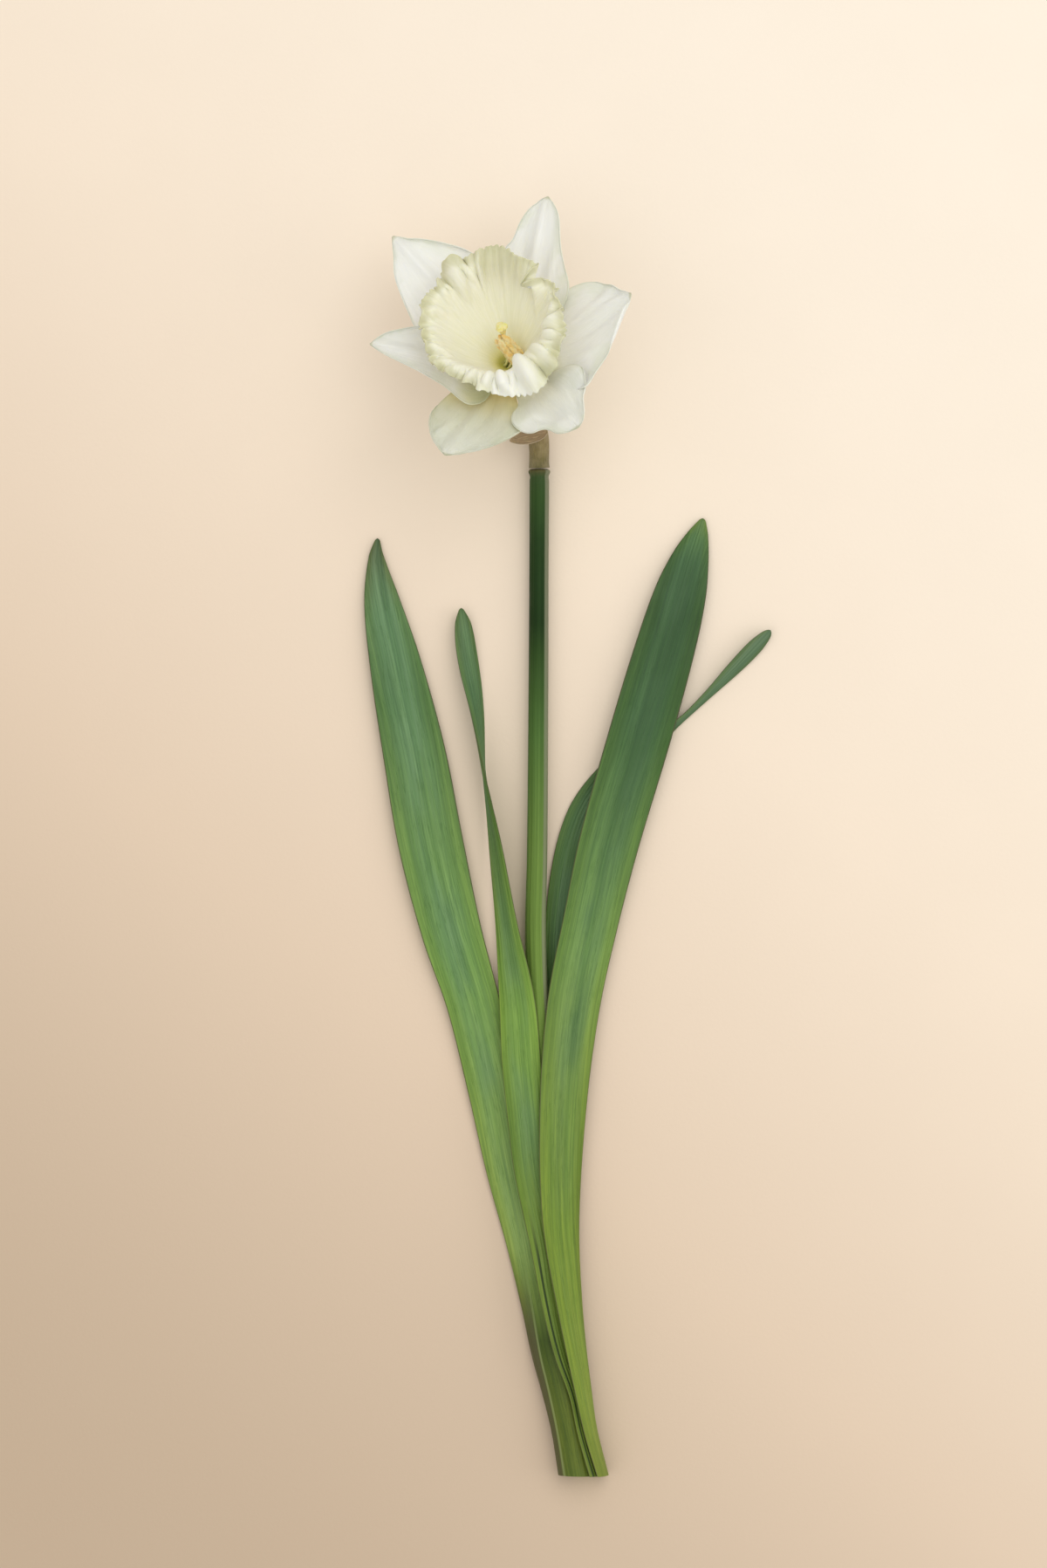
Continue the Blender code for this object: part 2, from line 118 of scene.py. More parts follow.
# %% Net to mesh
def net_piece(name, points, growth, place, material, around=False, caps=False):
    """A mesh through a net of points in mm; around closes each row into a ring and caps closes its ends."""
    rows, columns = points.shape[:2]
    index = np.arange(rows * columns).reshape(rows, columns)
    right = np.roll(index, -1, axis=1)
    if not around:
        index, right = index[:, :-1], right[:, :-1]
    quads = np.stack([index[:-1], right[:-1], right[1:], index[1:]], axis=-1).reshape(-1, 4).tolist()
    if caps:
        quads.append(list(range(columns))[::-1])
        quads.append(list(range((rows - 1) * columns, rows * columns)))
    mesh = bpy.data.meshes.new(name)
    mesh.from_pydata((points.reshape(-1, 3) * MM).tolist(), [], quads)
    for key, values in (("growth", growth), ("place", place)):
        layer = mesh.attributes.new(key, "FLOAT_VECTOR", "POINT")
        layer.data.foreach_set("vector", np.ascontiguousarray(values, np.float32).ravel())
    mesh.materials.append(material)
    mesh.shade_smooth()
    piece = bpy.data.objects.new(name, mesh)
    scene.collection.objects.link(piece)
    return piece


def facts(*values):
    """Three values at each point, stacked into one vector."""
    return np.stack(np.broadcast_arrays(*values), axis=-1)


def growth_round(radius, angle, at):
    """Growth of a round piece, without a seam where its rings close."""
    return facts(radius * np.cos(angle), at[:, None], radius * np.sin(angle))


def place_along(across, at):
    """Place of each point of a piece that has one face only."""
    return facts(across, (at / at[-1])[:, None], 1.0)


def thicken(piece, thick):
    """Gives a sheet its thickness in mm, half of it on each side."""
    skin = piece.modifiers.new("thickness", "SOLIDIFY")
    skin.thickness = thick * MM
    skin.offset = 0.0


print("net helpers ready")

# %% [markdown]
# ## Where the camera, table and light go
# The flower is seen from straight above, with its tip up the view, from far enough away that nothing is
# stretched. The table is a warm cream, with the fall-off of the light painted into it. The main light is a
# wide soft box beyond the bloom, with a weaker one across from it, a small low one at the right, and an
# even surround. That is what makes white petals read as soft: their shadows are pale and have no edge.

# %% Camera
CAMERA_AT = (-14.0, 17.08)
CAMERA_HIGH = 2400.0
VIEW_HIGH = 503.2  # height of the view at the table, in mm
SENSOR = 36.0
lens = bpy.data.cameras.new("camera")
lens.sensor_width = SENSOR
lens.lens = SENSOR * CAMERA_HIGH / VIEW_HIGH
lens.clip_end = 20.0
camera = bpy.data.objects.new("camera", lens)
camera.location = (CAMERA_AT[0] * MM, CAMERA_AT[1] * MM, CAMERA_HIGH * MM)
scene.collection.objects.link(camera)
scene.camera = camera
scene.view_settings.view_transform = "Standard"
print("lens", round(lens.lens, 1), "mm")


# %% Lights
def soft_box(name, place, size, power, colour):
    """A square area light at a place in metres, aimed at the middle of the flower."""
    light = bpy.data.lights.new(name, "AREA")
    light.shape = "SQUARE"
    light.size = size
    light.energy = power
    light.color = colour
    lamp = bpy.data.objects.new(name, light)
    lamp.location = place
    lamp.rotation_euler = (Vector((0.0, 0.03, 0.02)) - Vector(place)).to_track_quat("-Z", "Y").to_euler()
    scene.collection.objects.link(lamp)


soft_box("key_box", (0.9, 1.1, 2.6), 2.6, 29.0, (1.0, 0.995, 0.98))
soft_box("fill_box", (-1.1, -0.4, 2.6), 2.4, 12.0, (1.0, 1.0, 1.0))
soft_box("side_box", (1.3, -0.1, 0.7), 0.8, 2.5, (1.0, 0.99, 0.97))
surround = bpy.data.worlds.new("surround")
surround.use_nodes = True
surround.node_tree.nodes["Background"].inputs["Color"].default_value = (1.0, 0.985, 0.965, 1.0)
surround.node_tree.nodes["Background"].inputs["Strength"].default_value = 0.67
scene.world = surround

# %% [markdown]
# ## Small tools for the finishes
# A finish is a node tree. Writing one by hand is long, so a few helpers add a node, link or set a socket,
# mix two colours and read the facts stored at each point. Effects that several finishes share, such as the
# long streaks of a leaf or petal, are node groups with named sockets, built once.


# %% Links and sums
def feed(tree, source, socket):
    """Links another node's output to a socket, or sets the socket to a plain value."""
    if isinstance(source, bpy.types.NodeSocket):
        tree.links.new(source, socket)
    elif isinstance(source, tuple) and len(source) == 3 and socket.type == "RGBA":
        socket.default_value = (*source, 1.0)
    else:
        socket.default_value = source


def sums(tree, operation, a, b=0.0):
    """One Math node's result."""
    node = tree.nodes.new("ShaderNodeMath")
    node.operation = operation
    feed(tree, a, node.inputs[0])
    feed(tree, b, node.inputs[1])
    return node.outputs[0]


def product(tree, a, b):
    """Two values multiplied."""
    return sums(tree, "MULTIPLY", a, b)


print("link and sum helpers ready")


# %% Colours and stored facts
def blend_colours(tree, share, first, second, mode="MIX"):
    """Two colours mixed by a share."""
    node = tree.nodes.new("ShaderNodeMix")
    node.data_type = "RGBA"
    node.blend_type = mode
    feed(tree, share, node.inputs[0])
    feed(tree, first, node.inputs[6])
    feed(tree, second, node.inputs[7])
    return node.outputs[2]


def tinted(tree, share, colour, tint):
    """A colour that is multiplied by a tint, as far as the share goes."""
    return blend_colours(tree, share, colour, blend_colours(tree, 1.0, colour, tint, "MULTIPLY"))


def window(tree, value, low, high, start=0.0, end=1.0):
    """A value stretched so that low becomes start and high becomes end, eased and clamped."""
    node = tree.nodes.new("ShaderNodeMapRange")
    node.interpolation_type = "SMOOTHSTEP"
    for socket, number in zip(("From Min", "From Max", "To Min", "To Max"), (low, high, start, end)):
        feed(tree, number, node.inputs[socket])
    feed(tree, value, node.inputs["Value"])
    return node.outputs["Result"]


def colour_run(tree, value, stops):
    """Colours at places between 0 and 1, with an even passage from one to the next."""
    node = tree.nodes.new("ShaderNodeValToRGB")
    band = node.color_ramp
    while len(band.elements) < len(stops):
        band.elements.new(1.0)
    for element, (at, colour) in zip(band.elements, stops):
        element.position = at
        element.color = (*colour, 1.0)
    feed(tree, value, node.inputs["Fac"])
    return node.outputs["Color"]


def stored_facts(tree):
    """The growth stored at each point, and the three parts of the place stored there."""
    growth_node = tree.nodes.new("ShaderNodeAttribute")
    growth_node.attribute_name = "growth"
    place_node = tree.nodes.new("ShaderNodeAttribute")
    place_node.attribute_name = "place"
    split = tree.nodes.new("ShaderNodeSeparateXYZ")
    feed(tree, place_node.outputs["Vector"], split.inputs[0])
    return growth_node.outputs["Vector"], split.outputs


print("colour and fact helpers ready")


# %% A place to build each finish
def new_finish(name, roughness):
    """A material with its Principled shader, ready for nodes."""
    made = bpy.data.materials.new(name)
    made.use_nodes = True
    shader = made.node_tree.nodes["Principled BSDF"]
    shader.inputs["Roughness"].default_value = roughness
    return made, made.node_tree, shader


def bump_from(tree, shader, height, depth_mm, strength=1.0):
    """Feeds a height between 0 and 1 to the shader as relief this deep."""
    node = tree.nodes.new("ShaderNodeBump")
    node.inputs["Strength"].default_value = strength
    node.inputs["Distance"].default_value = depth_mm * MM
    feed(tree, height, node.inputs["Height"])
    tree.links.new(node.outputs["Normal"], shader.inputs["Normal"])


def glow(shader, weight, depth_mm, radius=(1.0, 0.2, 0.1)):
    """Lets light through the tissue: how much, how deep, and how far each colour travels."""
    shader.inputs["Subsurface Weight"].default_value = weight
    shader.inputs["Subsurface Radius"].default_value = radius
    shader.inputs["Subsurface Scale"].default_value = depth_mm * MM


print("finish bench ready")


# %% Groups with named sockets
def new_group(name, takes, gives):
    """A node group with named inputs and outputs, each given as a name with its kind and default."""
    tree = bpy.data.node_groups.new(name, "ShaderNodeTree")
    for label, kind, value in takes:
        socket = tree.interface.new_socket(label, in_out="INPUT", socket_type=kind)
        if value is not None:
            socket.default_value = value
    for label, kind in gives:
        tree.interface.new_socket(label, in_out="OUTPUT", socket_type=kind)
    entry = tree.nodes.new("NodeGroupInput")
    leave = tree.nodes.new("NodeGroupOutput")
    return tree, entry.outputs, leave.inputs


def use_group(tree, group, **values):
    """A group placed in a material, with its own values; an underscore in a name stands for a space."""
    node = tree.nodes.new("ShaderNodeGroup")
    node.node_tree = group
    for label, value in values.items():
        feed(tree, value, node.inputs[label.replace("_", " ")])
    return node.outputs


print("group helpers ready")

# %% [markdown]
# ### Grown streaks
# Veins run the length of a narcissus leaf and of a petal without branching. Stretching a noise a hundred
# times longer along than across gives them: two layers, one of broad soft bands and one of fine threads.

# %% Streak group
streaks, given, out = new_group(
    "grown_streaks",
    (
        ("Growth", "NodeSocketVector", None),
        ("Across", "NodeSocketFloat", 1.0),
        ("Along", "NodeSocketFloat", 0.02),
        ("Seed", "NodeSocketFloat", 0.0),
    ),
    (("Bands", "NodeSocketFloat"), ("Threads", "NodeSocketFloat")),
)
reach = streaks.nodes.new("ShaderNodeCombineXYZ")
feed(streaks, given["Across"], reach.inputs[0])
feed(streaks, given["Along"], reach.inputs[1])
feed(streaks, 1.0, reach.inputs[2])
spread = streaks.nodes.new("ShaderNodeVectorMath")
spread.operation = "MULTIPLY"
feed(streaks, given["Growth"], spread.inputs[0])
feed(streaks, reach.outputs[0], spread.inputs[1])
shift = streaks.nodes.new("ShaderNodeVectorMath")
shift.operation = "ADD"
feed(streaks, spread.outputs[0], shift.inputs[0])
feed(streaks, given["Seed"], shift.inputs[1])
# output, noise scale, detail, and the noise values that become 0 and 1
STREAK_LAYERS = (("Bands", 1.0, 2.0, 0.34, 0.66), ("Threads", 4.2, 3.0, 0.36, 0.64))
for label, scale, detail, low, high in STREAK_LAYERS:
    grain = streaks.nodes.new("ShaderNodeTexNoise")
    grain.inputs["Scale"].default_value = scale
    grain.inputs["Detail"].default_value = detail
    feed(streaks, shift.outputs[0], grain.inputs["Vector"])
    feed(streaks, window(streaks, grain.outputs["Fac"], low, high), out[label])
print("group:", streaks.name, len(streaks.nodes), "nodes")

# %% [markdown]
# ### Mottle and skin
# Living tissue is never even: it carries soft clouds of lighter and darker colour a few millimetres wide,
# and a fine pebble of cells. Both are solid noises, so that they wrap round an edge without a seam.

# %% Mottle group
mottle, given, out = new_group(
    "tissue_mottle",
    (("Size", "NodeSocketFloat", 8.0), ("Skin size", "NodeSocketFloat", 0.35)),
    (("Clouds", "NodeSocketFloat"), ("Skin", "NodeSocketFloat")),
)
where = mottle.nodes.new("ShaderNodeTexCoord")
# output, the input that sets its size, detail, and the noise values that become 0 and 1
MOTTLE_LAYERS = (("Clouds", "Size", 3.0, 0.3, 0.7), ("Skin", "Skin size", 1.0, 0.25, 0.75))
for label, take, detail, low, high in MOTTLE_LAYERS:
    grain = mottle.nodes.new("ShaderNodeTexNoise")
    grain.inputs["Detail"].default_value = detail
    feed(mottle, where.outputs["Object"], grain.inputs["Vector"])
    feed(mottle, sums(mottle, "DIVIDE", 1.0 / MM, given[take]), grain.inputs["Scale"])
    feed(mottle, window(mottle, grain.outputs["Fac"], low, high), out[label])
print("group:", mottle.name)

# %% [markdown]
# ## The table
# A plain pale sheet of paper in warm cream, with the fall-off of the light painted into it: deepest at the
# near left and lightest at the far right. It only has to take the soft shadow and stay quiet, so its finish
# is that painted fall-off and a faint tooth.

# %% Table finish and sheet
# painted fall-off of the light on the paper, from the near left to the far right
PAPER_PAINTED_FALLOFF = (
    (0.0, (0.54, 0.415, 0.295)), (0.3, (0.745, 0.595, 0.45)),
    (0.65, (0.885, 0.755, 0.61)), (1.0, (0.93, 0.835, 0.71)),
)
paper, tree, shader = new_finish("table_paper", 0.9)
where = tree.nodes.new("ShaderNodeTexCoord")
split = tree.nodes.new("ShaderNodeSeparateXYZ")
feed(tree, where.outputs["Object"], split.inputs[0])
# painted light: the paper is painted brightest towards the far right and darkest towards the near left
slope = sums(tree, "ADD", product(tree, split.outputs[1], 1.4), product(tree, split.outputs[0], 1.2))
painted_falloff_tone = colour_run(tree, window(tree, slope, -0.55, 0.55), PAPER_PAINTED_FALLOFF)
tooth = use_group(tree, mottle, Size=40.0, Skin_size=1.2)
painted_falloff_tone = blend_colours(tree, product(tree, tooth["Clouds"], 0.03), painted_falloff_tone, (0.6, 0.5, 0.38))
feed(tree, painted_falloff_tone, shader.inputs["Base Color"])
bump_from(tree, shader, tooth["Skin"], 0.03, 0.5)
shader.inputs["Specular IOR Level"].default_value = 0.15
TABLE_HALF = 2500.0
grid = np.linspace(-TABLE_HALF, TABLE_HALF, 9)
flat = facts(grid[None, :], grid[:, None], 0.0)
table = net_piece("table", flat, flat, flat, paper)
print("table", 2 * TABLE_HALF * MM, "m across")

# %% [markdown]
# ## Leaf blades
# A narcissus leaf is a long strap, thick in the middle, thin at the margins, with a shallow channel on top,
# a blunt keel below and a rounded tip. Near the foot the blades wrap round each other and the stem. A blade
# could be a flat plane with a bend, but its edge would be a knife edge. Here each cross-section is drawn
# whole: an arc with a lens thickness, an upper face and an underside, so that the light rolls over it.

# %% Stations of the left leaf
# in every leaf: x, y, z and width in mm, then roll and arc in degrees
LEAF_LEFT = (
    (0.5, -204.3, 8.6, 15.4, 35.0, 128.0),
    (-2.0, -190.0, 8.6, 13.2, 37.0, 108.0),
    (-4.5, -178.0, 7.8, 13.2, 36.0, 92.0),
    (-7.6, -165.0, 7.0, 12.4, 33.0, 70.0),
    (-10.1, -150.0, 5.9, 12.6, 29.0, 54.0),
    (-13.6, -130.0, 4.8, 14.0, 22.0, 40.0),
    (-18.4, -106.5, 4.0, 16.0, 13.0, 26.0),
    (-23.7, -80.0, 3.2, 16.8, 6.0, 4.0),
    (-30.1, -53.3, 2.4, 17.2, 0.0, -12.0),
    (-37.3, -29.5, 2.1, 19.4, -2.0, -20.0),
    (-43.9, -1.5, 2.1, 21.0, -4.0, -20.0),
    (-49.0, 26.5, 2.1, 20.2, -5.0, -16.0),
    (-54.9, 54.5, 2.2, 16.8, -6.0, -12.0),
    (-59.4, 75.5, 1.8, 11.6, -4.0, -8.0),
    (-61.2, 89.5, 1.3, 5.2, 0.0, 0.0),
    (-60.8, 95.9, 1.0, 1.2, 0.0, 0.0),
)
print("left leaf:", len(LEAF_LEFT), "stations")

# %% Stations of the narrow leaf
LEAF_NARROW = (
    (9.8, -204.3, 8.2, 8.0, -61.0, 50.0),
    (5.7, -190.0, 9.9, 6.8, -51.0, 40.0),
    (3.5, -178.0, 10.0, 7.2, -43.0, 34.0),
    (-0.4, -165.0, 10.6, 8.2, -31.0, 26.0),
    (-3.5, -150.0, 10.8, 9.4, -24.0, 22.0),
    (-6.3, -130.0, 10.3, 11.4, -14.0, 20.0),
    (-10.8, -106.5, 9.9, 12.4, -5.0, 16.0),
    (-13.3, -85.0, 9.8, 12.7, 0.0, 16.0),
    (-14.8, -71.0, 8.9, 12.6, 7.0, 14.0),
    (-16.1, -53.3, 8.2, 12.3, 21.0, 12.0),
    (-19.4, -29.5, 7.7, 11.6, 52.0, 10.0),
    (-23.4, -1.5, 6.4, 11.0, 70.0, 10.0),
    (-26.6, 19.5, 5.7, 10.0, 90.0, 10.0),
    (-29.1, 40.5, 4.8, 8.8, 120.0, 8.0),
    (-32.2, 59.0, 3.8, 7.4, 152.0, 4.0),
    (-33.4, 68.5, 3.3, 5.4, 162.0, 0.0),
    (-34.0, 73.5, 3.0, 1.2, 165.0, 0.0),
)
print("narrow leaf:", len(LEAF_NARROW), "stations")

# %% Stations of the right leaf
LEAF_RIGHT = (
    (12.4, -204.3, 6.4, 10.6, -76.0, 70.0),
    (8.6, -190.0, 8.0, 11.2, -71.0, 66.0),
    (6.4, -178.0, 9.2, 11.8, -65.0, 60.0),
    (1.9, -150.0, 10.4, 13.4, -52.0, 48.0),
    (-1.2, -120.5, 10.2, 15.4, -37.0, 42.0),
    (-0.9, -85.5, 9.0, 17.0, -26.0, 34.0),
    (2.4, -53.3, 7.2, 17.9, -18.0, 20.0),
    (8.0, -25.3, 5.8, 18.2, -12.0, 8.0),
    (13.4, -1.5, 5.0, 19.4, -8.0, -8.0),
    (23.5, 33.5, 4.6, 20.2, -6.0, -16.0),
    (31.6, 61.5, 3.8, 19.2, -5.0, -16.0),
    (36.4, 78.5, 2.8, 16.6, -3.0, -12.0),
    (39.6, 89.5, 1.9, 12.0, -1.0, -8.0),
    (42.2, 97.5, 1.3, 6.4, 0.0, 0.0),
    (43.7, 102.3, 1.0, 1.4, 0.0, 0.0),
)
print("right leaf:", len(LEAF_RIGHT), "stations")

# %% Stations of the back leaf
LEAF_BACK = (
    (5.4, -204.3, 0.7, 8.4, 0.0, -110.0),
    (1.9, -180.0, 0.7, 8.6, 0.0, -104.0),
    (-1.0, -150.0, 0.7, 9.0, 0.0, -90.0),
    (-4.2, -106.5, 0.7, 9.6, 2.0, -60.0),
    (-3.0, -60.0, 0.8, 10.0, 4.0, -30.0),
    (-1.0, -20.0, 0.9, 10.8, 4.0, -24.0),
    (4.8, 6.0, 1.0, 10.6, 2.0, -16.0),
    (16.0, 22.0, 1.0, 9.0, 0.0, -8.0),
    (27.0, 30.4, 1.6, 6.4, -20.0, 0.0),
    (36.0, 37.2, 1.9, 3.7, -58.0, 0.0),
    (44.0, 44.6, 2.3, 4.2, -56.0, 6.0),
    (53.0, 53.6, 2.9, 5.8, -42.0, 10.0),
    (60.0, 60.8, 3.0, 5.6, -30.0, 10.0),
    (63.8, 64.8, 3.1, 3.6, -26.0, 4.0),
    (65.2, 66.4, 3.3, 1.4, -30.0, 0.0),
)
print("back leaf:", len(LEAF_BACK), "stations")


# %% Frame of a blade along its line
def blade_axes(run):
    """Unit vectors to the right and out of the upper face at each row of a blade."""
    along = np.gradient(run[:, :3], axis=0)
    along /= np.linalg.norm(along, axis=1)[:, None]
    level = np.cross(along, (0.0, 0.0, 1.0))
    level /= np.linalg.norm(level, axis=1)[:, None]
    roll = np.radians(run[:, 4])[:, None]
    level = level * np.cos(roll) - np.cross(along, level) * np.sin(roll)
    return level, np.cross(level, along)


def foot_first(stations, spare=6.0):
    """The stations with one more, run on past the cut."""
    first, second = np.array(stations[0]), np.array(stations[1])
    before = first - (second - first) * spare / (second[1] - first[1])
    return (tuple(before), *stations)


print("blade axes ready")


# %% Cut a piece square at the foot
def trim_foot(piece, cut_finish):
    """Cuts the piece across at the foot and closes the cut with a face of its own finish."""
    work = bmesh.new()
    work.from_mesh(piece.data)
    every = work.verts[:] + work.edges[:] + work.faces[:]
    at = Vector((0.0, FOOT_Y * MM, 0.0))
    bmesh.ops.bisect_plane(work, geom=every, plane_co=at, plane_no=(0.0, 1.0, 0.0), clear_inner=True)
    rim = [edge for edge in work.edges if edge.is_boundary and abs(edge.verts[0].co.y - at.y) < 1e-6]
    made = bmesh.ops.contextual_create(work, geom=rim)["faces"]
    for edge in rim:
        edge.smooth = False
    for face in made:
        face.material_index = 1
        face.smooth = False
    bmesh.ops.triangulate(work, faces=made)
    bmesh.ops.recalc_face_normals(work, faces=work.faces[:])
    work.to_mesh(piece.data)
    work.free()
    piece.data.materials.append(cut_finish)


print("cuts are made at", round(FOOT_Y, 1), "mm")


# %% Build a blade
BLADE_ROWS = 190
TIP_ROWS = 26
FACE_COLUMNS = 45
TIP_FROM = 0.975  # share of the length where the closer rows of the tip start
TIP_ROUND = 0.9  # mm over which the tip rounds off
CHANNEL_DEEP = 0.3
RIB_HIGH = 0.07
RIBS = 9
LOWEST = 0.03  # mm that every point stays above the table


def make_blade(name, stations, thickness, sway, seed, finish, cut_finish):
    """A whole leaf: a lens-shaped section swept along its stations, rounded off at the tip."""
    tip_shares = np.linspace(TIP_FROM, 1.0, TIP_ROWS + 1)[1:]
    shares = np.concatenate([np.linspace(0.0, TIP_FROM, BLADE_ROWS), tip_shares])
    run, at = run_through(foot_first(stations), shares)
    level, out_of = blade_axes(run)
    # columns lie closer together towards the margins
    u = np.linspace(-1.0, 1.0, FACE_COLUMNS)
    side = np.sign(u) * (1.0 - (1.0 - np.abs(u)) ** 1.5)
    to_tip = at[-1] - at
    blunt = np.sqrt(1.0 - (1.0 - np.clip(to_tip / TIP_ROUND, 0.0, 1.0)) ** 2)
    wide = (run[:, 3] * np.maximum(blunt, 0.02))[:, None]
    bend = np.radians(run[:, 5])[:, None]
    bend = np.where(np.abs(bend) < 1e-3, 1e-3, bend)
    turn = bend * side / 2.0
    lateral = wide / bend * np.sin(turn)
    drop = wide / bend * (np.cos(turn) - 1.0)
    # a margin waves only where the blade lies free of its neighbours
    free = smoothstep(at, 40.0, 120.0)[:, None] * smoothstep(to_tip, 0.0, 40.0)[:, None]
    wave = ripple(at[:, None] / 19.0, np.sign(side) * 3.0, seed, 4) * np.abs(side) ** 3 * sway * free
    thick = thickness * np.minimum(1.0, wide / 5.0) ** 0.7 * (1.0 - np.abs(side) ** 5) ** 0.5
    thick = thick * (0.62 + 0.38 * (1.0 - side**2))
    hollow = CHANNEL_DEEP * hump(side, 0.0, 0.3) * np.minimum(1.0, wide / 12.0)
    ribs = RIB_HIGH * np.cos(np.pi * RIBS * side) * (1.0 - side**4)
    normal = out_of[:, None, :] * np.cos(turn)[..., None] + level[:, None, :] * np.sin(turn)[..., None]
    middle = run[:, None, :3] + level[:, None, :] * lateral[..., None]
    middle = middle + out_of[:, None, :] * (drop + wave)[..., None]
    upper = middle + normal * (thick / 2.0 - hollow + ribs)[..., None]
    under = middle - normal * (thick / 2.0 + 0.5 * hollow + ribs)[..., None]
    points = np.concatenate([upper, under[:, -2:0:-1]], axis=1)
    points[..., 2] = np.maximum(points[..., 2], LOWEST)
    ring_side = np.concatenate([side, side[-2:0:-1]])[None, :]
    face = np.concatenate([np.ones(FACE_COLUMNS), np.zeros(FACE_COLUMNS - 2)])[None, :]
    growth = facts(ring_side * wide / 2.0, at[:, None], (1.0 - face) * 7.0)
    place = facts(ring_side, (at / at[-1])[:, None], face)
    piece = net_piece(name, points, growth, place, finish, around=True, caps=True)
    trim_foot(piece, cut_finish)
    return piece


print("blade net:", BLADE_ROWS + TIP_ROWS, "rows of", 2 * FACE_COLUMNS - 2)

# %% [markdown]
# ### Leaf finishes
# Each leaf goes from a yellow-green foot to a bluish green blade, because the foot grew in the dark of the
# bulb. Over that run lie warmer flanks, a waxy grey cast down the middle, long darker bands, paler threads
# between the veins, short dark dashes and a thin brown line at the margin. One recipe serves all four
# leaves. Each gets its own run of colours, and three get a mark of their own: a reddish outer band with
# painted shade and a painted highlight on its fold, a painted shadow in a crease, or a deep green middle.

# %% Leaf recipe
MARGIN_BROWN = (0.085, 0.075, 0.035)


def leaf_finish(name, stops, seed, wax, dashes=0.5, extra=None):
    """Leaf skin: colours along it, a waxy middle, warm flanks, streaks, dashes and a brown margin."""
    made, tree, shader = new_finish(name, 0.5)
    growth, place = stored_facts(tree)
    veins = use_group(tree, streaks, Growth=growth, Across=0.5, Along=0.008, Seed=seed)
    fine = use_group(tree, streaks, Growth=growth, Across=1.25, Along=0.02, Seed=seed + 20.0)
    marks = use_group(tree, streaks, Growth=growth, Across=1.1, Along=0.05, Seed=seed + 40.0)
    drift = use_group(tree, streaks, Growth=growth, Across=0.12, Along=0.03, Seed=seed + 80.0)
    cloud = use_group(tree, mottle, Size=9.0, Skin_size=0.28)
    base = colour_run(tree, place[1], stops)
    edge = sums(tree, "ABSOLUTE", place[0])
    flank_tint_and_painted_light = product(tree, window(tree, edge, 0.35, 0.85), 0.75)
    body = tinted(tree, flank_tint_and_painted_light, base, (0.98, 0.93, 0.62))
    waxy = product(tree, window(tree, edge, 0.8, 0.1), product(tree, drift["Bands"], 0.6))
    waxy = product(tree, waxy, window(tree, place[1], 0.22, 0.5))
    body = blend_colours(tree, waxy, body, wax)
    body = tinted(tree, product(tree, veins["Bands"], 0.85), body, (0.66, 0.75, 0.68))
    body = tinted(tree, product(tree, veins["Threads"], 0.6), body, (1.42, 1.34, 1.30))
    body = tinted(tree, product(tree, fine["Threads"], 0.5), body, (0.68, 0.74, 0.62))
    dash = window(tree, marks["Threads"], 0.72, 0.98)
    dash = product(tree, dash, window(tree, drift["Threads"], 0.35, 0.8))
    body = tinted(tree, product(tree, dash, dashes), body, (0.42, 0.55, 0.36))
    if extra:
        body = extra(tree, body, place)
    margin = window(tree, edge, 0.955, 0.985)
    body = blend_colours(tree, product(tree, margin, 0.75), body, MARGIN_BROWN)
    feed(tree, body, shader.inputs["Base Color"])
    rough = sums(tree, "ADD", product(tree, veins["Threads"], 0.1), product(tree, cloud["Clouds"], 0.1))
    feed(tree, sums(tree, "ADD", rough, 0.42), shader.inputs["Roughness"])
    relief = sums(tree, "ADD", product(tree, veins["Threads"], 0.75), product(tree, cloud["Skin"], 0.25))
    bump_from(tree, shader, relief, 0.09, 0.7)
    shader.inputs["Specular IOR Level"].default_value = 0.25
    return made


print("margin line:", MARGIN_BROWN)


# %% Marks of three leaves
def outer_band_with_painted_light(tree, body, place):
    """The left leaf's foot: its outer side is reddish olive, darkened by painted shade where it turns away
    from the light, with a painted highlight along the fold beside it.
    """
    low = window(tree, place[1], 0.25, 0.15)
    # painted shade on the reddish outer side, where it turns away from the light
    band = product(tree, low, window(tree, place[0], -0.18, -0.3))
    body = blend_colours(tree, product(tree, band, 0.85), body, (0.092, 0.086, 0.036))
    # painted highlight along the fold line
    line = product(tree, window(tree, place[0], -0.26, -0.2), window(tree, place[0], -0.1, -0.16))
    return blend_colours(tree, product(tree, product(tree, line, low), 0.6), body, (0.26, 0.30, 0.12))


def painted_crease_shadow(tree, body, place):
    """The narrow leaf's foot is folded: a nearly black painted shadow runs down in the crease beside its left
    margin.
    """
    low = window(tree, place[1], 0.34, 0.26)
    # painted shadow in the crease
    line = product(tree, window(tree, place[0], -0.76, -0.70), window(tree, place[0], -0.56, -0.62))
    return blend_colours(tree, product(tree, product(tree, line, low), 0.9), body, (0.012, 0.03, 0.006))


def dark_middle(tree, body, place):
    """The right leaf's upper half has a deep green band down its middle."""
    high = product(tree, window(tree, place[1], 0.6, 0.8), window(tree, place[1], 0.985, 0.93))
    band = window(tree, sums(tree, "ABSOLUTE", sums(tree, "SUBTRACT", place[0], 0.1)), 0.6, 0.05)
    return blend_colours(tree, product(tree, product(tree, band, high), 0.6), body, (0.030, 0.080, 0.026))


print("marks ready for the left, the narrow and the right leaf")

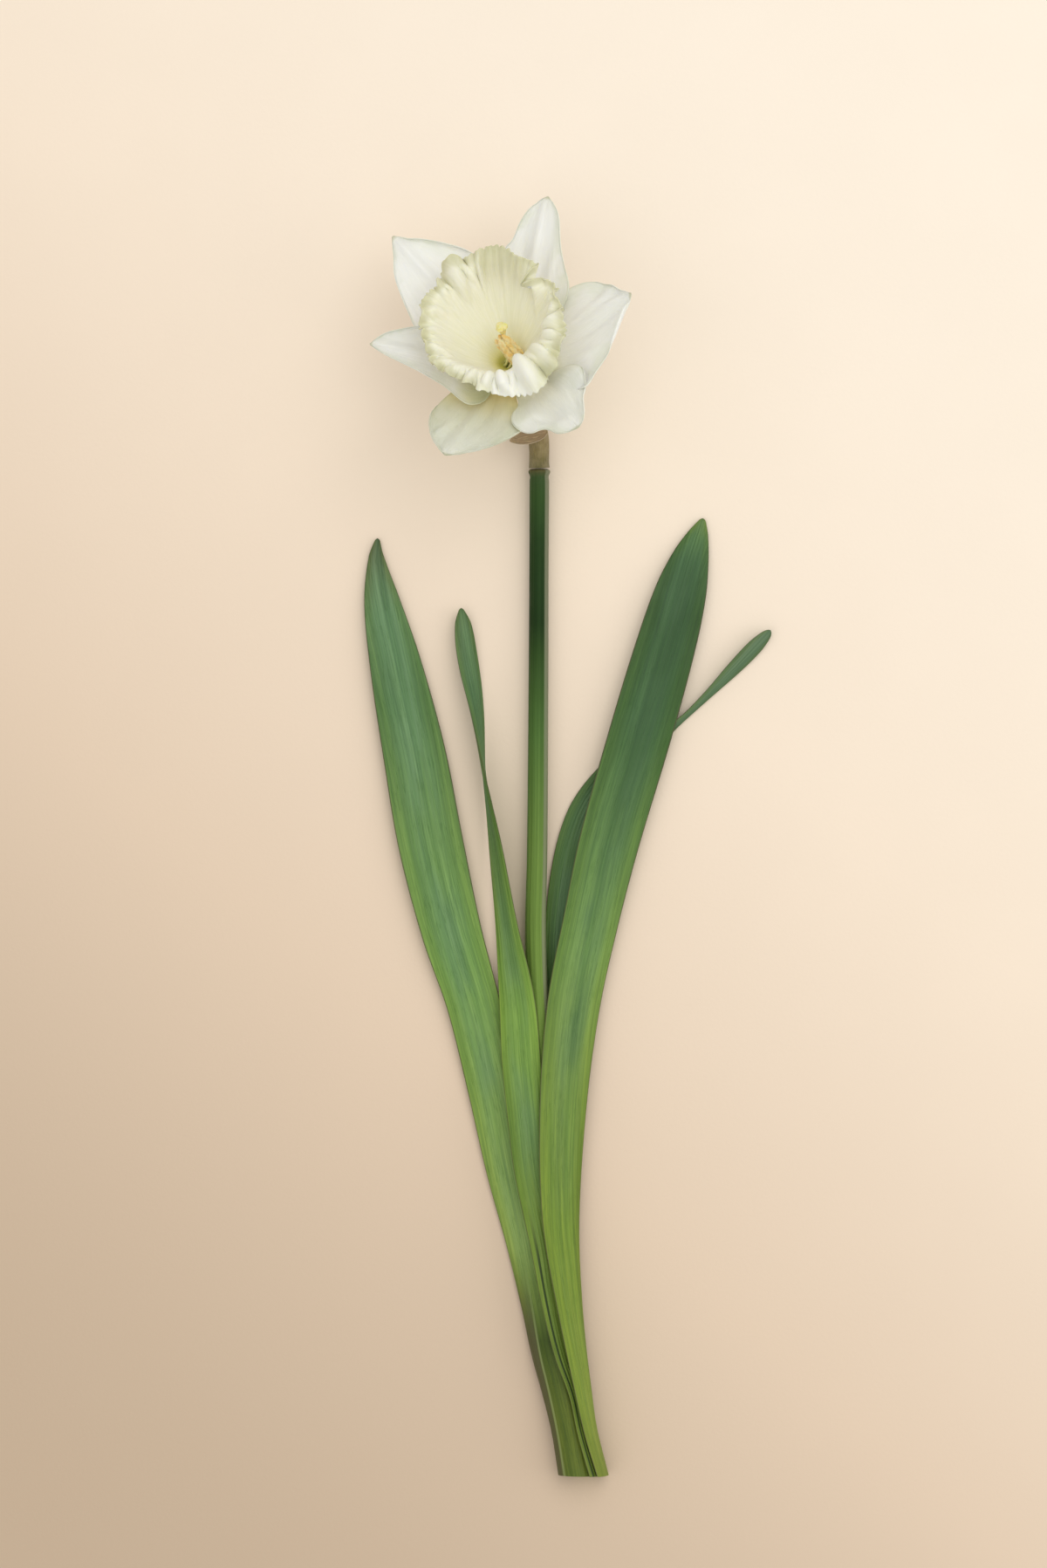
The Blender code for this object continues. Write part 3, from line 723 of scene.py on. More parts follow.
# %% The four leaf skins
left_skin = leaf_finish("leaf_left_skin", (
    (0.0, (0.110, 0.150, 0.018)), (0.09, (0.105, 0.145, 0.018)), (0.16, (0.052, 0.088, 0.010)),
    (0.21, (0.145, 0.220, 0.042)), (0.26, (0.235, 0.350, 0.095)), (0.45, (0.220, 0.360, 0.092)),
    (0.56, (0.180, 0.322, 0.085)), (0.72, (0.140, 0.258, 0.086)), (0.83, (0.095, 0.195, 0.072)),
    (0.92, (0.125, 0.235, 0.110)), (0.985, (0.110, 0.155, 0.075)),
), 3.0, (0.155, 0.280, 0.140), 0.42, outer_band_with_painted_light)
narrow_skin = leaf_finish("leaf_narrow_skin", (
    (0.0, (0.150, 0.210, 0.035)), (0.18, (0.165, 0.240, 0.040)), (0.26, (0.205, 0.300, 0.056)),
    (0.40, (0.150, 0.255, 0.048)), (0.54, (0.205, 0.350, 0.070)), (0.66, (0.180, 0.310, 0.074)),
    (0.76, (0.100, 0.196, 0.054)), (0.90, (0.090, 0.180, 0.080)), (0.985, (0.100, 0.170, 0.070)),
), 11.0, (0.140, 0.250, 0.115), 0.3, painted_crease_shadow)
right_skin = leaf_finish("leaf_right_skin", (
    (0.0, (0.200, 0.245, 0.045)), (0.10, (0.205, 0.290, 0.045)), (0.27, (0.175, 0.270, 0.036)),
    (0.45, (0.180, 0.285, 0.062)), (0.55, (0.160, 0.280, 0.075)), (0.66, (0.105, 0.205, 0.060)),
    (0.78, (0.056, 0.132, 0.040)), (0.90, (0.042, 0.100, 0.034)), (0.955, (0.062, 0.138, 0.056)),
    (0.98, (0.090, 0.180, 0.062)), (0.995, (0.150, 0.235, 0.070)),
), 23.0, (0.085, 0.175, 0.075), 0.35, dark_middle)
back_skin = leaf_finish("leaf_back_skin", (
    (0.0, (0.190, 0.230, 0.050)), (0.40, (0.120, 0.210, 0.055)), (0.60, (0.085, 0.180, 0.045)),
    (0.75, (0.075, 0.150, 0.055)), (0.88, (0.105, 0.185, 0.095)), (0.985, (0.120, 0.190, 0.105)),
), 31.0, (0.120, 0.210, 0.115), 0.2)
print("leaf finishes:", left_skin.name, narrow_skin.name, right_skin.name, back_skin.name)

# %% [markdown]
# ### The cut faces
# Where the knife went through, the tissue is pale, wet and full of tiny open tubes. Stem and leaves share
# one finish for it: pale green with small dark pores and a wet shine.

# %% Cut finish
cut_face, tree, shader = new_finish("cut_tissue", 0.3)
where = tree.nodes.new("ShaderNodeTexCoord")
pores = tree.nodes.new("ShaderNodeTexVoronoi")
pores.inputs["Scale"].default_value = 1700.0
feed(tree, where.outputs["Object"], pores.inputs["Vector"])
open_pore = window(tree, pores.outputs["Distance"], 0.18, 0.42, 1.0, 0.0)
cloud = use_group(tree, mottle, Size=2.0, Skin_size=0.2)
flesh = blend_colours(tree, cloud["Clouds"], (0.42, 0.50, 0.22), (0.55, 0.60, 0.34))
flesh = blend_colours(tree, product(tree, open_pore, 0.7), flesh, (0.14, 0.20, 0.06))
feed(tree, flesh, shader.inputs["Base Color"])
bump_from(tree, shader, open_pore, -0.06)
print("finish:", cut_face.name)

# %% Make the four leaves
leaves = (
    make_blade("left_leaf", LEAF_LEFT, 1.3, 0.5, 5, left_skin, cut_face),
    make_blade("narrow_leaf", LEAF_NARROW, 1.1, 0.2, 6, narrow_skin, cut_face),
    make_blade("right_leaf", LEAF_RIGHT, 1.3, 0.5, 7, right_skin, cut_face),
    make_blade("back_leaf", LEAF_BACK, 1.1, 0.2, 8, back_skin, cut_face),
)
for blade, node in zip(leaves, ("leaf_left", "leaf_narrow", "leaf_right", "leaf_back")):
    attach(blade, "root")
    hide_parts(node)
    print(blade.name, len(blade.data.polygons), "faces")

# %% [markdown]
# ## The scape
# The leafless stem that carries the flower is a firm tube, a little flattened, with a dozen faint ridges.
# Its waxy green is nearly black at the top and pales to yellow-green near the foot, and a painted highlight
# lies as a paler grey-green down the right flank. It ends in a ring where the papery sheath starts. A swept
# section does it; the ridges and the ring are in the shape so that a side view shows them.

# %% Stations of the scape: x, y, z, radius
SCAPE = (
    (5.6, -204.3, 4.95, 3.3),
    (1.8, -180.0, 4.95, 3.3),
    (-1.0, -150.0, 4.95, 3.3),
    (-4.2, -115.0, 4.95, 3.3),
    (-6.9, -85.0, 5.05, 3.3),
    (-9.3, -53.0, 5.2, 3.35),
    (-10.1, -30.0, 5.0, 3.35),
    (-9.6, -5.0, 4.6, 3.3),
    (-9.2, 45.0, 3.8, 3.2),
    (-9.0, 90.0, 3.4, 3.1),
    (-8.9, 112.0, 3.45, 3.15),
    (-8.9, 118.0, 3.5, 3.1),
)
print("scape stations:", len(SCAPE))


# %% Sweep a round section
def sweep(run, section, sides):
    """Rings of points round a line, and their angles. The section gives a share of the radius at each."""
    along = np.gradient(run[:, :3], axis=0)
    along /= np.linalg.norm(along, axis=1)[:, None]
    level = np.cross(along, (0.0, 0.0, 1.0))
    level[np.linalg.norm(level, axis=1) < 1e-6] = (1.0, 0.0, 0.0)
    level /= np.linalg.norm(level, axis=1)[:, None]
    out_of = np.cross(level, along)
    angle = np.linspace(0.0, 2.0 * np.pi, sides, endpoint=False)[None, :]
    radius = run[:, 3][:, None] * section(angle)
    ring = level[:, None, :] * (radius * np.sin(angle))[..., None]
    ring = ring + out_of[:, None, :] * (radius * np.cos(angle))[..., None]
    return run[:, None, :3] + ring, angle


def swollen(points, run, share):
    """Rings of points moved away from their line by a share of their distance from it."""
    return run[:, None, :3] + (points - run[:, None, :3]) * (1.0 + share)[..., None]


print("sweep ready")

# %% Rings of the scape
STEM_ROWS = 200
RING_ROWS = 60  # closer rows where the ring is
RING_FROM = 0.97
SCAPE_SIDES = 72


def ridged(angle):
    """Section of the scape: a little flattened, with faint ridges."""
    return 1.0 + 0.014 * np.cos(13 * angle) + 0.012 * np.cos(5 * angle + 1.0) + 0.02 * np.cos(2 * angle)


ring_shares = np.linspace(RING_FROM, 1.0, RING_ROWS + 1)[1:]
shares = np.concatenate([np.linspace(0.0, RING_FROM, STEM_ROWS), ring_shares])
run, at = run_through(foot_first(SCAPE), shares)
to_ring = at[-1] - at
# the ring stands out just below the top, with a faint waist under it
run[:, 3] += 0.42 * hump(to_ring, 0.9, 0.8) - 0.12 * hump(to_ring, 2.6, 0.7)
run[:, 3] *= np.sqrt(1.0 - (1.0 - np.clip(to_ring / 0.5, 0.0, 1.0)) ** 2 * 0.35)
points, angle = sweep(run, ridged, SCAPE_SIDES)
print("scape:", points.shape[0], "rings, length", round(float(at[-1]), 1), "mm")

# %% Scape finish
scape_skin, tree, shader = new_finish("scape_skin", 0.42)
growth, place = stored_facts(tree)
veins = use_group(tree, streaks, Growth=growth, Across=0.9, Along=0.01, Seed=41.0)
cloud = use_group(tree, mottle, Size=7.0, Skin_size=0.25)
base = colour_run(tree, place[1], (
    (0.0, (0.190, 0.250, 0.060)), (0.45, (0.160, 0.260, 0.048)), (0.62, (0.145, 0.245, 0.050)),
    (0.74, (0.075, 0.155, 0.034)), (0.85, (0.012, 0.036, 0.006)), (0.93, (0.018, 0.048, 0.010)),
    (0.975, (0.035, 0.080, 0.018)), (0.993, (0.045, 0.085, 0.026)), (1.0, (0.12, 0.10, 0.04))))
body = tinted(tree, product(tree, veins["Bands"], 0.45), base, (0.55, 0.6, 0.5))
body = tinted(tree, product(tree, veins["Threads"], 0.4), body, (1.4, 1.3, 1.3))
# painted highlight: the right flank is made paler, as where light from the right catches it
flank_tint_and_painted_light = window(tree, place[0], 0.5, 0.66)
body = blend_colours(tree, product(tree, flank_tint_and_painted_light, 0.7), body, (0.24, 0.25, 0.16))
feed(tree, body, shader.inputs["Base Color"])
feed(tree, sums(tree, "ADD", product(tree, cloud["Clouds"], 0.15), 0.36), shader.inputs["Roughness"])
bump_from(tree, shader, sums(tree, "ADD", veins["Threads"], product(tree, cloud["Skin"], 0.3)), 0.06, 0.7)
shader.inputs["Specular IOR Level"].default_value = 0.1
print("finish:", scape_skin.name)

# %% The scape itself
points[..., 2] = np.maximum(points[..., 2], LOWEST)
growth = growth_round(4.6, angle, at)
place = place_along(np.sin(angle), at)
scape = net_piece("scape_stem", points, growth, place, scape_skin, around=True, caps=True)
trim_foot(scape, cut_face)
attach(scape, "root")
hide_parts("scape")
print(scape.name, len(scape.data.polygons), "faces")

# %% [markdown]
# ## Pedicel, ovary and floral tube
# Above the ring a short stalk bends up through the sheath, swells into the three-sided ovary and narrows
# into the tube that carries the bloom. It hides under the petals from above but shows from every side.

# %% Ovary and tube
OVARY_TUBE = (
    (-8.9, 118.3, 3.6, 2.1),
    (-9.0, 124.0, 4.0, 2.0),
    (-9.4, 130.5, 5.3, 2.1),
    (-10.4, 136.4, 8.8, 3.4),
    (-11.6, 139.6, 13.4, 3.9),
    (-12.9, 142.2, 18.4, 3.1),
    (-14.4, 144.8, 23.4, 2.9),
    (-16.0, 147.6, 27.6, 3.3),
    (-17.3, 150.0, 30.9, 4.3),
    (-17.8, 150.95, 32.5, 4.9),
)
run, at = run_through(OVARY_TUBE, np.linspace(0.0, 1.0, 110))
points, angle = sweep(run, lambda a: 1.0 + 0.045 * np.cos(3 * a) + 0.012 * np.cos(12 * a), 60)
tube_skin, tree, shader = new_finish("tube_skin", 0.45)
growth, place = stored_facts(tree)
veins = use_group(tree, streaks, Growth=growth, Across=1.1, Along=0.03, Seed=53.0)
base = colour_run(tree, place[1], (
    (0.0, (0.24, 0.26, 0.08)), (0.3, (0.16, 0.27, 0.07)), (0.5, (0.13, 0.27, 0.06)),
    (0.72, (0.28, 0.38, 0.11)), (0.9, (0.50, 0.56, 0.28)), (1.0, (0.72, 0.74, 0.50))))
body = tinted(tree, product(tree, veins["Bands"], 0.4), base, (0.6, 0.68, 0.5))
feed(tree, body, shader.inputs["Base Color"])
bump_from(tree, shader, veins["Threads"], 0.07)
glow(shader, 0.15, 2.0)
growth = growth_round(3.0, angle, at)
place = place_along(np.cos(angle), at)
tube = net_piece("ovary_and_tube", points, growth, place, tube_skin, around=True, caps=True)
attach(tube, "root")
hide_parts("ovary_tube")
print(tube.name, len(tube.data.polygons), "faces")

# %% [markdown]
# ## The spathe
# The bud was wrapped in a sheath that has dried to brown paper. It still hugs the stalk above the ring, then
# splits and turns aside in a small curled flap. The sheath is a round section swept up the stalk, and the
# flap is a small arched blade that lies across it. Both crinkle, and one finish of long fibres with a paler
# edge runs on from the one to the other.

# %% Stations of the sheath and its flap, and the sheath's net
SHEATH = (
    (-8.95, 118.35, 3.8, 3.2),
    (-9.0, 120.0, 3.9, 3.05),
    (-9.0, 123.0, 4.1, 3.05),
    (-9.1, 127.0, 4.6, 3.15),
    (-9.4, 130.4, 5.6, 3.0),
)
SPATHE_THICK = 0.22
FLAP = (
    (-6.6, 130.0, 8.6, 1.6, 10.0, 60.0),
    (-8.6, 129.0, 9.2, 3.6, 8.0, 50.0),
    (-12.0, 128.1, 9.4, 4.6, 4.0, 44.0),
    (-15.0, 127.5, 9.0, 3.9, 0.0, 40.0),
    (-17.2, 127.1, 8.2, 2.0, 0.0, 30.0),
    (-18.4, 126.9, 7.6, 0.5, 0.0, 10.0),
)
SPATHE_ROWS = 90


def fibrous(angle):
    """Section of the sheath, with the fibres that stand out of it."""
    return 1.0 + 0.012 * np.cos(9 * angle) + 0.01 * np.cos(23 * angle + 1.0)


run, sheath_at = run_through(SHEATH, np.linspace(0.0, 1.0, SPATHE_ROWS))
sheath_points, sheath_angle = sweep(run, fibrous, 96)
crinkle = 0.10 * ripple(sheath_at[:, None] / 2.6, sheath_angle * 2.0, 13)
crinkle = crinkle * smoothstep(sheath_at, 1.0, 6.0)[:, None]
sheath_points += (sheath_points - run[:, None, :3]) / 3.0 * crinkle[..., None]
print("sheath net:", sheath_points.shape[:2])

# %% Net of the flap
run, at = run_through(FLAP, np.linspace(0.0, 1.0, SPATHE_ROWS))
level, out_of = blade_axes(run)
side = np.linspace(-1.0, 1.0, 49)[None, :]
bend = np.radians(run[:, 5])[:, None]
turn = bend * side / 2.0
wide = run[:, 3][:, None]
lateral = wide / bend * np.sin(turn)
drop = -wide / bend * (np.cos(turn) - 1.0)
crinkle = 0.09 * np.sin(side * 17.0 + 2.0 * ripple(at[:, None] / 2.0, side * 2.0, 12))
crinkle = crinkle + 0.22 * ripple(at[:, None] / 1.8, side * 3.0, 14)
flap_points = run[:, None, :3] + level[:, None, :] * lateral[..., None]
flap_points = flap_points + out_of[:, None, :] * (drop + crinkle)[..., None]
print("flap net:", flap_points.shape[:2])

# %% Spathe finish
dry_paper, tree, shader = new_finish("dry_spathe", 0.7)
growth, place = stored_facts(tree)
fibres = use_group(tree, streaks, Growth=growth, Across=1.6, Along=0.12, Seed=61.0)
cloud = use_group(tree, mottle, Size=2.4, Skin_size=0.15)
base = colour_run(tree, place[1], (
    (0.0, (0.15, 0.135, 0.04)), (0.2, (0.26, 0.205, 0.065)), (0.49, (0.34, 0.25, 0.10)),
    (0.52, (0.42, 0.29, 0.15)), (0.8, (0.46, 0.32, 0.18)), (1.0, (0.52, 0.38, 0.22))))
body = tinted(tree, product(tree, fibres["Threads"], 0.6), base, (0.55, 0.5, 0.4))
body = blend_colours(tree, product(tree, cloud["Clouds"], 0.3), body, (0.46, 0.37, 0.20))
edge = window(tree, sums(tree, "ABSOLUTE", place[0]), 0.86, 0.99)
body = blend_colours(tree, product(tree, edge, 0.7), body, (0.62, 0.50, 0.34))
feed(tree, body, shader.inputs["Base Color"])
bump_from(tree, shader, fibres["Threads"], 0.12)
shader.inputs["Sheen Weight"].default_value = 0.15
print("finish:", dry_paper.name)

# %% The sheath and its flap
# the finish runs on from one to the other: the sheath takes its first half and the flap the second
sheath_growth = growth_round(3.4, sheath_angle, sheath_at)
sheath_place = facts(0.0 * sheath_angle, (0.5 * sheath_at / sheath_at[-1])[:, None], 1.0)
sheath = net_piece("spathe_sheath", sheath_points, sheath_growth, sheath_place, dry_paper, around=True)
flap_growth = facts(side * wide / 2.0, at[:, None], 5.0)
flap_place = facts(side, (0.5 + 0.5 * at / at[-1])[:, None], 1.0)
flap = net_piece("spathe_flap", flap_points, flap_growth, flap_place, dry_paper)
for piece in (sheath, flap):
    thicken(piece, SPATHE_THICK)
    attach(piece, "root")
    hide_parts("spathe")
    print(piece.name, len(piece.data.polygons), "faces")

# %% [markdown]
# ## The bloom's own frame
# The bloom leans up and ahead, so it is easier to draw it upright and then tip the whole of it. Petals,
# trumpet and stamens are all drawn about one upright axis, and one matrix carries them to their place.

# %% Bloom frame
BLOOM_PLACE = (-17.9, 151.2, 33.0)
BLOOM_LEAN = 33.0
BLOOM_HEADING = 117.0
heading = math.radians(BLOOM_HEADING)
tip_over = Matrix.Rotation(math.radians(BLOOM_LEAN), 3, Vector((-math.sin(heading), math.cos(heading), 0.0)))
TIP_OVER = np.array(tip_over)


def into_place(points):
    """Points drawn about the upright axis, carried to the bloom's place."""
    return points @ TIP_OVER.T + np.array(BLOOM_PLACE)


def turned(points, degrees):
    """Points turned round the upright axis."""
    c, s = math.cos(math.radians(degrees)), math.sin(math.radians(degrees))
    return points @ np.array(((c, s, 0.0), (-s, c, 0.0), (0.0, 0.0, 1.0)))


print("bloom axis:", (TIP_OVER @ (0, 0, 1)).round(3))

# %% [markdown]
# ## The six tepals
# Three tepals stand in a front ring and three behind. Each is a broad satin-white blade with a small pointed
# tip, a groove down its middle, long shallow creases beside it and a margin that waves or rolls in. No two
# are alike, so each has its own outline: how far it spreads to either side at a few distances from the
# centre. Its height follows the distance from the axis, which cups it like the saucer of the bloom.

# %% Outlines of the tepals
# first azimuth, reach, tip height and ring (1 is in front); then the spread to the left and to the right,
# each as distance out and spread; last the left roll, the right roll and the crumple
TEPALS = {
    "top": (
        71.6, 47.5, 21.1, 1,
        (
            (4, 4.2), (12, 9.0), (20, 12.0), (27, 11.8), (31, 10.8), (34, 8.9), (39, 7.7), (43, 5.6),
            (46, 2.4), (47.5, 0.2),
        ),
        (
            (4, 4.4), (12, 10.0), (18, 13.6), (24, 13.8), (29, 10.8), (34, 8.2), (37, 7.1), (42, 5.4),
            (45, 3.3), (47.5, 0.2),
        ),
        0.6, 0.3, 0.35,
    ),
    "upper_left": (
        135.3, 49.5, 22.8, 0,
        (
            (4, 4.4), (12, 11.5), (20, 15.6), (25, 15.4), (30, 13.4), (35, 11.3), (41, 8.2), (45, 4.4),
            (48, 1.7), (49.5, 0.2),
        ),
        (
            (4, 4.4), (12, 10.5), (20, 15.4), (27, 15.8), (32, 14.4), (37, 11.6), (42, 7.7), (46, 3.4),
            (48.3, 1.4), (49.5, 0.2),
        ),
        0.4, 1.0, 0.5,
    ),
    "left": (
        185.0, 40.5, 18.8, 1,
        (
            (4, 10.5), (7, 19.0), (11, 21.2), (14, 19.3), (17, 15.8), (20, 12.6), (26, 8.3), (32, 5.2),
            (37, 2.7), (40.5, 0.2),
        ),
        (
            (4, 4.5), (10, 9.0), (18, 10.4), (27, 8.6), (33, 6.2), (37, 3.9), (39.3, 1.6), (40.5, 0.2),
        ),
        0.5, 0.8, 0.4,
    ),
    "lower_left": (
        251.1, 45.2, 13.5, 0,
        (
            (4, 4.0), (12, 7.5), (20, 13.0), (26, 17.6), (30, 18.2), (36, 14.8), (40, 9.8), (43, 4.6),
            (44.6, 1.6), (45.2, 0.2),
        ),
        (
            (4, 5.0), (12, 9.5), (20, 12.2), (26, 13.3), (31, 12.4), (36, 10.1), (41, 6.2), (44, 2.2),
            (45.2, 0.2),
        ),
        0.55, 1.3, 0.5,
    ),
    "lower_right": (
        307.0, 46.6, 13.0, 1,
        (
            (4, 4.0), (12, 4.8), (18, 5.8), (20, 8.6), (21.5, 11.0), (23.5, 12.8), (26.5, 13.6),
            (29.5, 13.0), (33.5, 10.6), (36, 8.2), (41.8, 5.2), (45, 2.6), (46.6, 0.3),
        ),
        (
            (4, 5.0), (12, 6.4), (18, 7.4), (21, 9.0), (22.5, 11.6), (25.8, 13.8), (30, 14.3), (34, 13.4),
            (37, 11.4), (38.4, 8.4), (40, 7.2), (43.6, 6.0), (45.6, 3.6), (46.6, 0.4),
        ),
        0.45, 0.25, 0.9,
    ),
    "right": (
        11.4, 44.1, 18.2, 0,
        (
            (4, 5.0), (12, 11.5), (20, 14.4), (27, 14.2), (32, 12.2), (37, 7.9), (41, 3.2), (43, 1.2),
            (44.1, 0.2),
        ),
        (
            (4, 6.0), (12, 17.0), (20, 24.5), (25, 25.9), (28, 21.6), (33, 17.2), (37, 11.5), (41, 6.0),
            (43.2, 2.4), (44.1, 0.2),
        ),
        0.5, 1.4, 0.6,
    ),
}
print("tepals:", ", ".join(TEPALS))


# %% Spread of a tepal at each distance
TEPAL_ROWS = 110
TEPAL_COLUMNS = 71
TEPAL_FOOT = 3.6
TEPAL_THICK = 0.3


def spread_at(table, outs):
    """Smooth spread at each distance from the axis."""
    run, _ = run_through([(out, 0.0, 0.0, spread) for out, spread in table], np.linspace(0.0, 1.0, 400))
    return np.maximum(np.interp(outs, run[:, 0], run[:, 3]), 0.08)


print("tepal net:", TEPAL_ROWS, "x", TEPAL_COLUMNS)


# %% Net of one tepal
def tepal_net(shape, seed, dents, rolled_from):
    """Points of one tepal about the upright axis, its shares across and along, and its distances out."""
    _, reach, tip, ring, left, right, roll_left, roll_right, crumple = shape
    # rows lie closer together towards the tip, and columns towards the margins
    t = 1.0 - (1.0 - np.linspace(0.0, 1.0, TEPAL_ROWS)) ** 1.25
    outs = (TEPAL_FOOT + (reach - TEPAL_FOOT) * t)[:, None]
    u = np.linspace(-1.0, 1.0, TEPAL_COLUMNS)
    side = (np.sign(u) * (1.0 - (1.0 - np.abs(u)) ** 1.25))[None, :]
    spread = np.where(side >= 0.0, spread_at(left, outs), spread_at(right, outs))
    # past the flat body the margin rolls up round a small circle
    roll = np.where(side >= 0.0, roll_left, roll_right) * smoothstep(spread, 1.0, 6.0)
    roll = roll * smoothstep(t, rolled_from, rolled_from + 0.2)[:, None] + 0.02
    body = np.maximum(spread - roll, 0.5 * spread)
    inner = np.abs(side) * (spread + roll * 1.6)
    over = np.clip(inner - body, 0.0, None)
    curl = np.minimum(over / np.maximum(roll, 0.05), 2.6)
    y = np.sign(side) * (np.minimum(inner, body) + roll * np.sin(curl))
    lift = roll * (1.0 - np.cos(curl))
    x = outs + 0.0 * y
    rho = np.hypot(x, y)
    # the height cups the petal like a saucer, and the front ring lies over the back one
    h = 0.8 + 1.6 * ring * np.minimum(1.0, 3.0 * t)[:, None] + tip * (rho / reach) ** 1.5 + lift
    open_part = smoothstep(t, 0.12, 0.4)[:, None] * smoothstep(spread, 0.4, 6.0)
    # a line down the middle with a hollow on either side, then creases, a wavy margin and soft rumples
    groove = 0.5 * hump(y, 0.0, 1.7) - 0.35 * hump(np.abs(y), 3.4, 1.5)
    creases = 0.10 * np.sin(side * 11.0 + 1.5 * ripple(x / 9.0, side, seed))
    creases = creases + 0.02 * np.sin(side * 37.0 + ripple(x / 7.0, side * 2.0, seed + 1) * 2.0)
    waves = np.abs(side) ** 2.5 * ripple(x / 5.5, np.sign(side) * 2.0, seed + 2, 5) * 0.8
    rumple = ripple(x / 7.5, y / 4.5, seed + 3, 8) + 0.36 * ripple(x / 3.2, y / 2.2, seed + 4, 8)
    rumple = crumple * rumple
    h = h + open_part * (groove + creases + waves * (0.6 + 0.4 * crumple) + rumple)
    for dent_x, dent_y, size_x, size_y, turn_by, rise in dents:
        lean = math.radians(turn_by)
        along_dent = (x - dent_x) * math.cos(lean) + (y - dent_y) * math.sin(lean)
        across_dent = (y - dent_y) * math.cos(lean) - (x - dent_x) * math.sin(lean)
        h = h + rise * np.exp(-((along_dent / size_x) ** 2) - (across_dent / size_y) ** 2)
    return np.stack([x, y, h], axis=-1), side, t[:, None], outs


print("tepals are", TEPAL_THICK, "mm thick")

# %% [markdown]
# ### Petal finish
# A white petal is thin and lets light through, so a little subsurface scattering does more for it than any
# colour. It is whitest halfway out, yellow-green near the centre and greyer towards the tip and the margin,
# with painted shade on the flanks beside the rolled margins, long veins that show as faint cool threads and
# a satin shine. The very point is a dry greenish beak. Painted shade lies over the two lower tepals, where
# the trumpet's shadow falls, over their own khaki tint near the base.

# %% Petal finish
petal_skin, tree, shader = new_finish("petal_satin", 0.42)
growth, place = stored_facts(tree)
veins = use_group(tree, streaks, Growth=growth, Across=1.1, Along=0.035, Seed=71.0)
cloud = use_group(tree, mottle, Size=11.0, Skin_size=0.3)
base = colour_run(tree, place[1], (
    (0.0, (0.46, 0.48, 0.16)), (0.22, (0.76, 0.73, 0.48)), (0.34, (0.93, 0.93, 0.85)),
    (0.5, (0.94, 0.95, 0.91)), (0.8, (0.865, 0.89, 0.86)), (0.975, (0.845, 0.865, 0.81)),
    (0.995, (0.55, 0.56, 0.36))))
body = tinted(tree, product(tree, veins["Threads"], 0.4), base, (0.93, 0.945, 0.92))
body = blend_colours(tree, product(tree, veins["Bands"], 0.2), body, (0.86, 0.87, 0.80))
body = blend_colours(tree, product(tree, cloud["Clouds"], 0.2), body, (0.91, 0.905, 0.86))
side_share = sums(tree, "ABSOLUTE", place[0])
edge = window(tree, side_share, 0.93, 1.0)
body = blend_colours(tree, product(tree, edge, 0.45), body, (0.60, 0.62, 0.50))
# painted shade: the flanks beside the rolled margins are greyed, where the rolls shade them
flank_tint_and_painted_light = product(tree, window(tree, side_share, 0.35, 0.85), window(tree, cloud["Clouds"], 0.2, 0.75))
body = tinted(tree, flank_tint_and_painted_light, body, (0.92, 0.935, 0.885))
# painted shade of the trumpet on the lower tepals, over their own khaki tint near the base
painted_shade_tint = colour_run(tree, place[1], (
    (0.22, (0.92, 0.74, 0.34)), (0.38, (0.84, 0.77, 0.52)), (0.55, (0.72, 0.71, 0.58)),
    (0.85, (0.80, 0.80, 0.72)), (1.0, (0.90, 0.90, 0.85))))
body = tinted(tree, place[2], body, painted_shade_tint)
feed(tree, body, shader.inputs["Base Color"])
feed(tree, sums(tree, "ADD", product(tree, veins["Threads"], 0.12), 0.38), shader.inputs["Roughness"])
relief = sums(tree, "ADD", product(tree, veins["Threads"], 0.7), product(tree, cloud["Skin"], 0.3))
bump_from(tree, shader, relief, 0.07, 0.8)
glow(shader, 0.7, 0.6, (1.0, 0.98, 0.85))
shader.inputs["Specular IOR Level"].default_value = 0.35
shader.inputs["Sheen Weight"].default_value = 0.12
print("finish:", petal_skin.name)

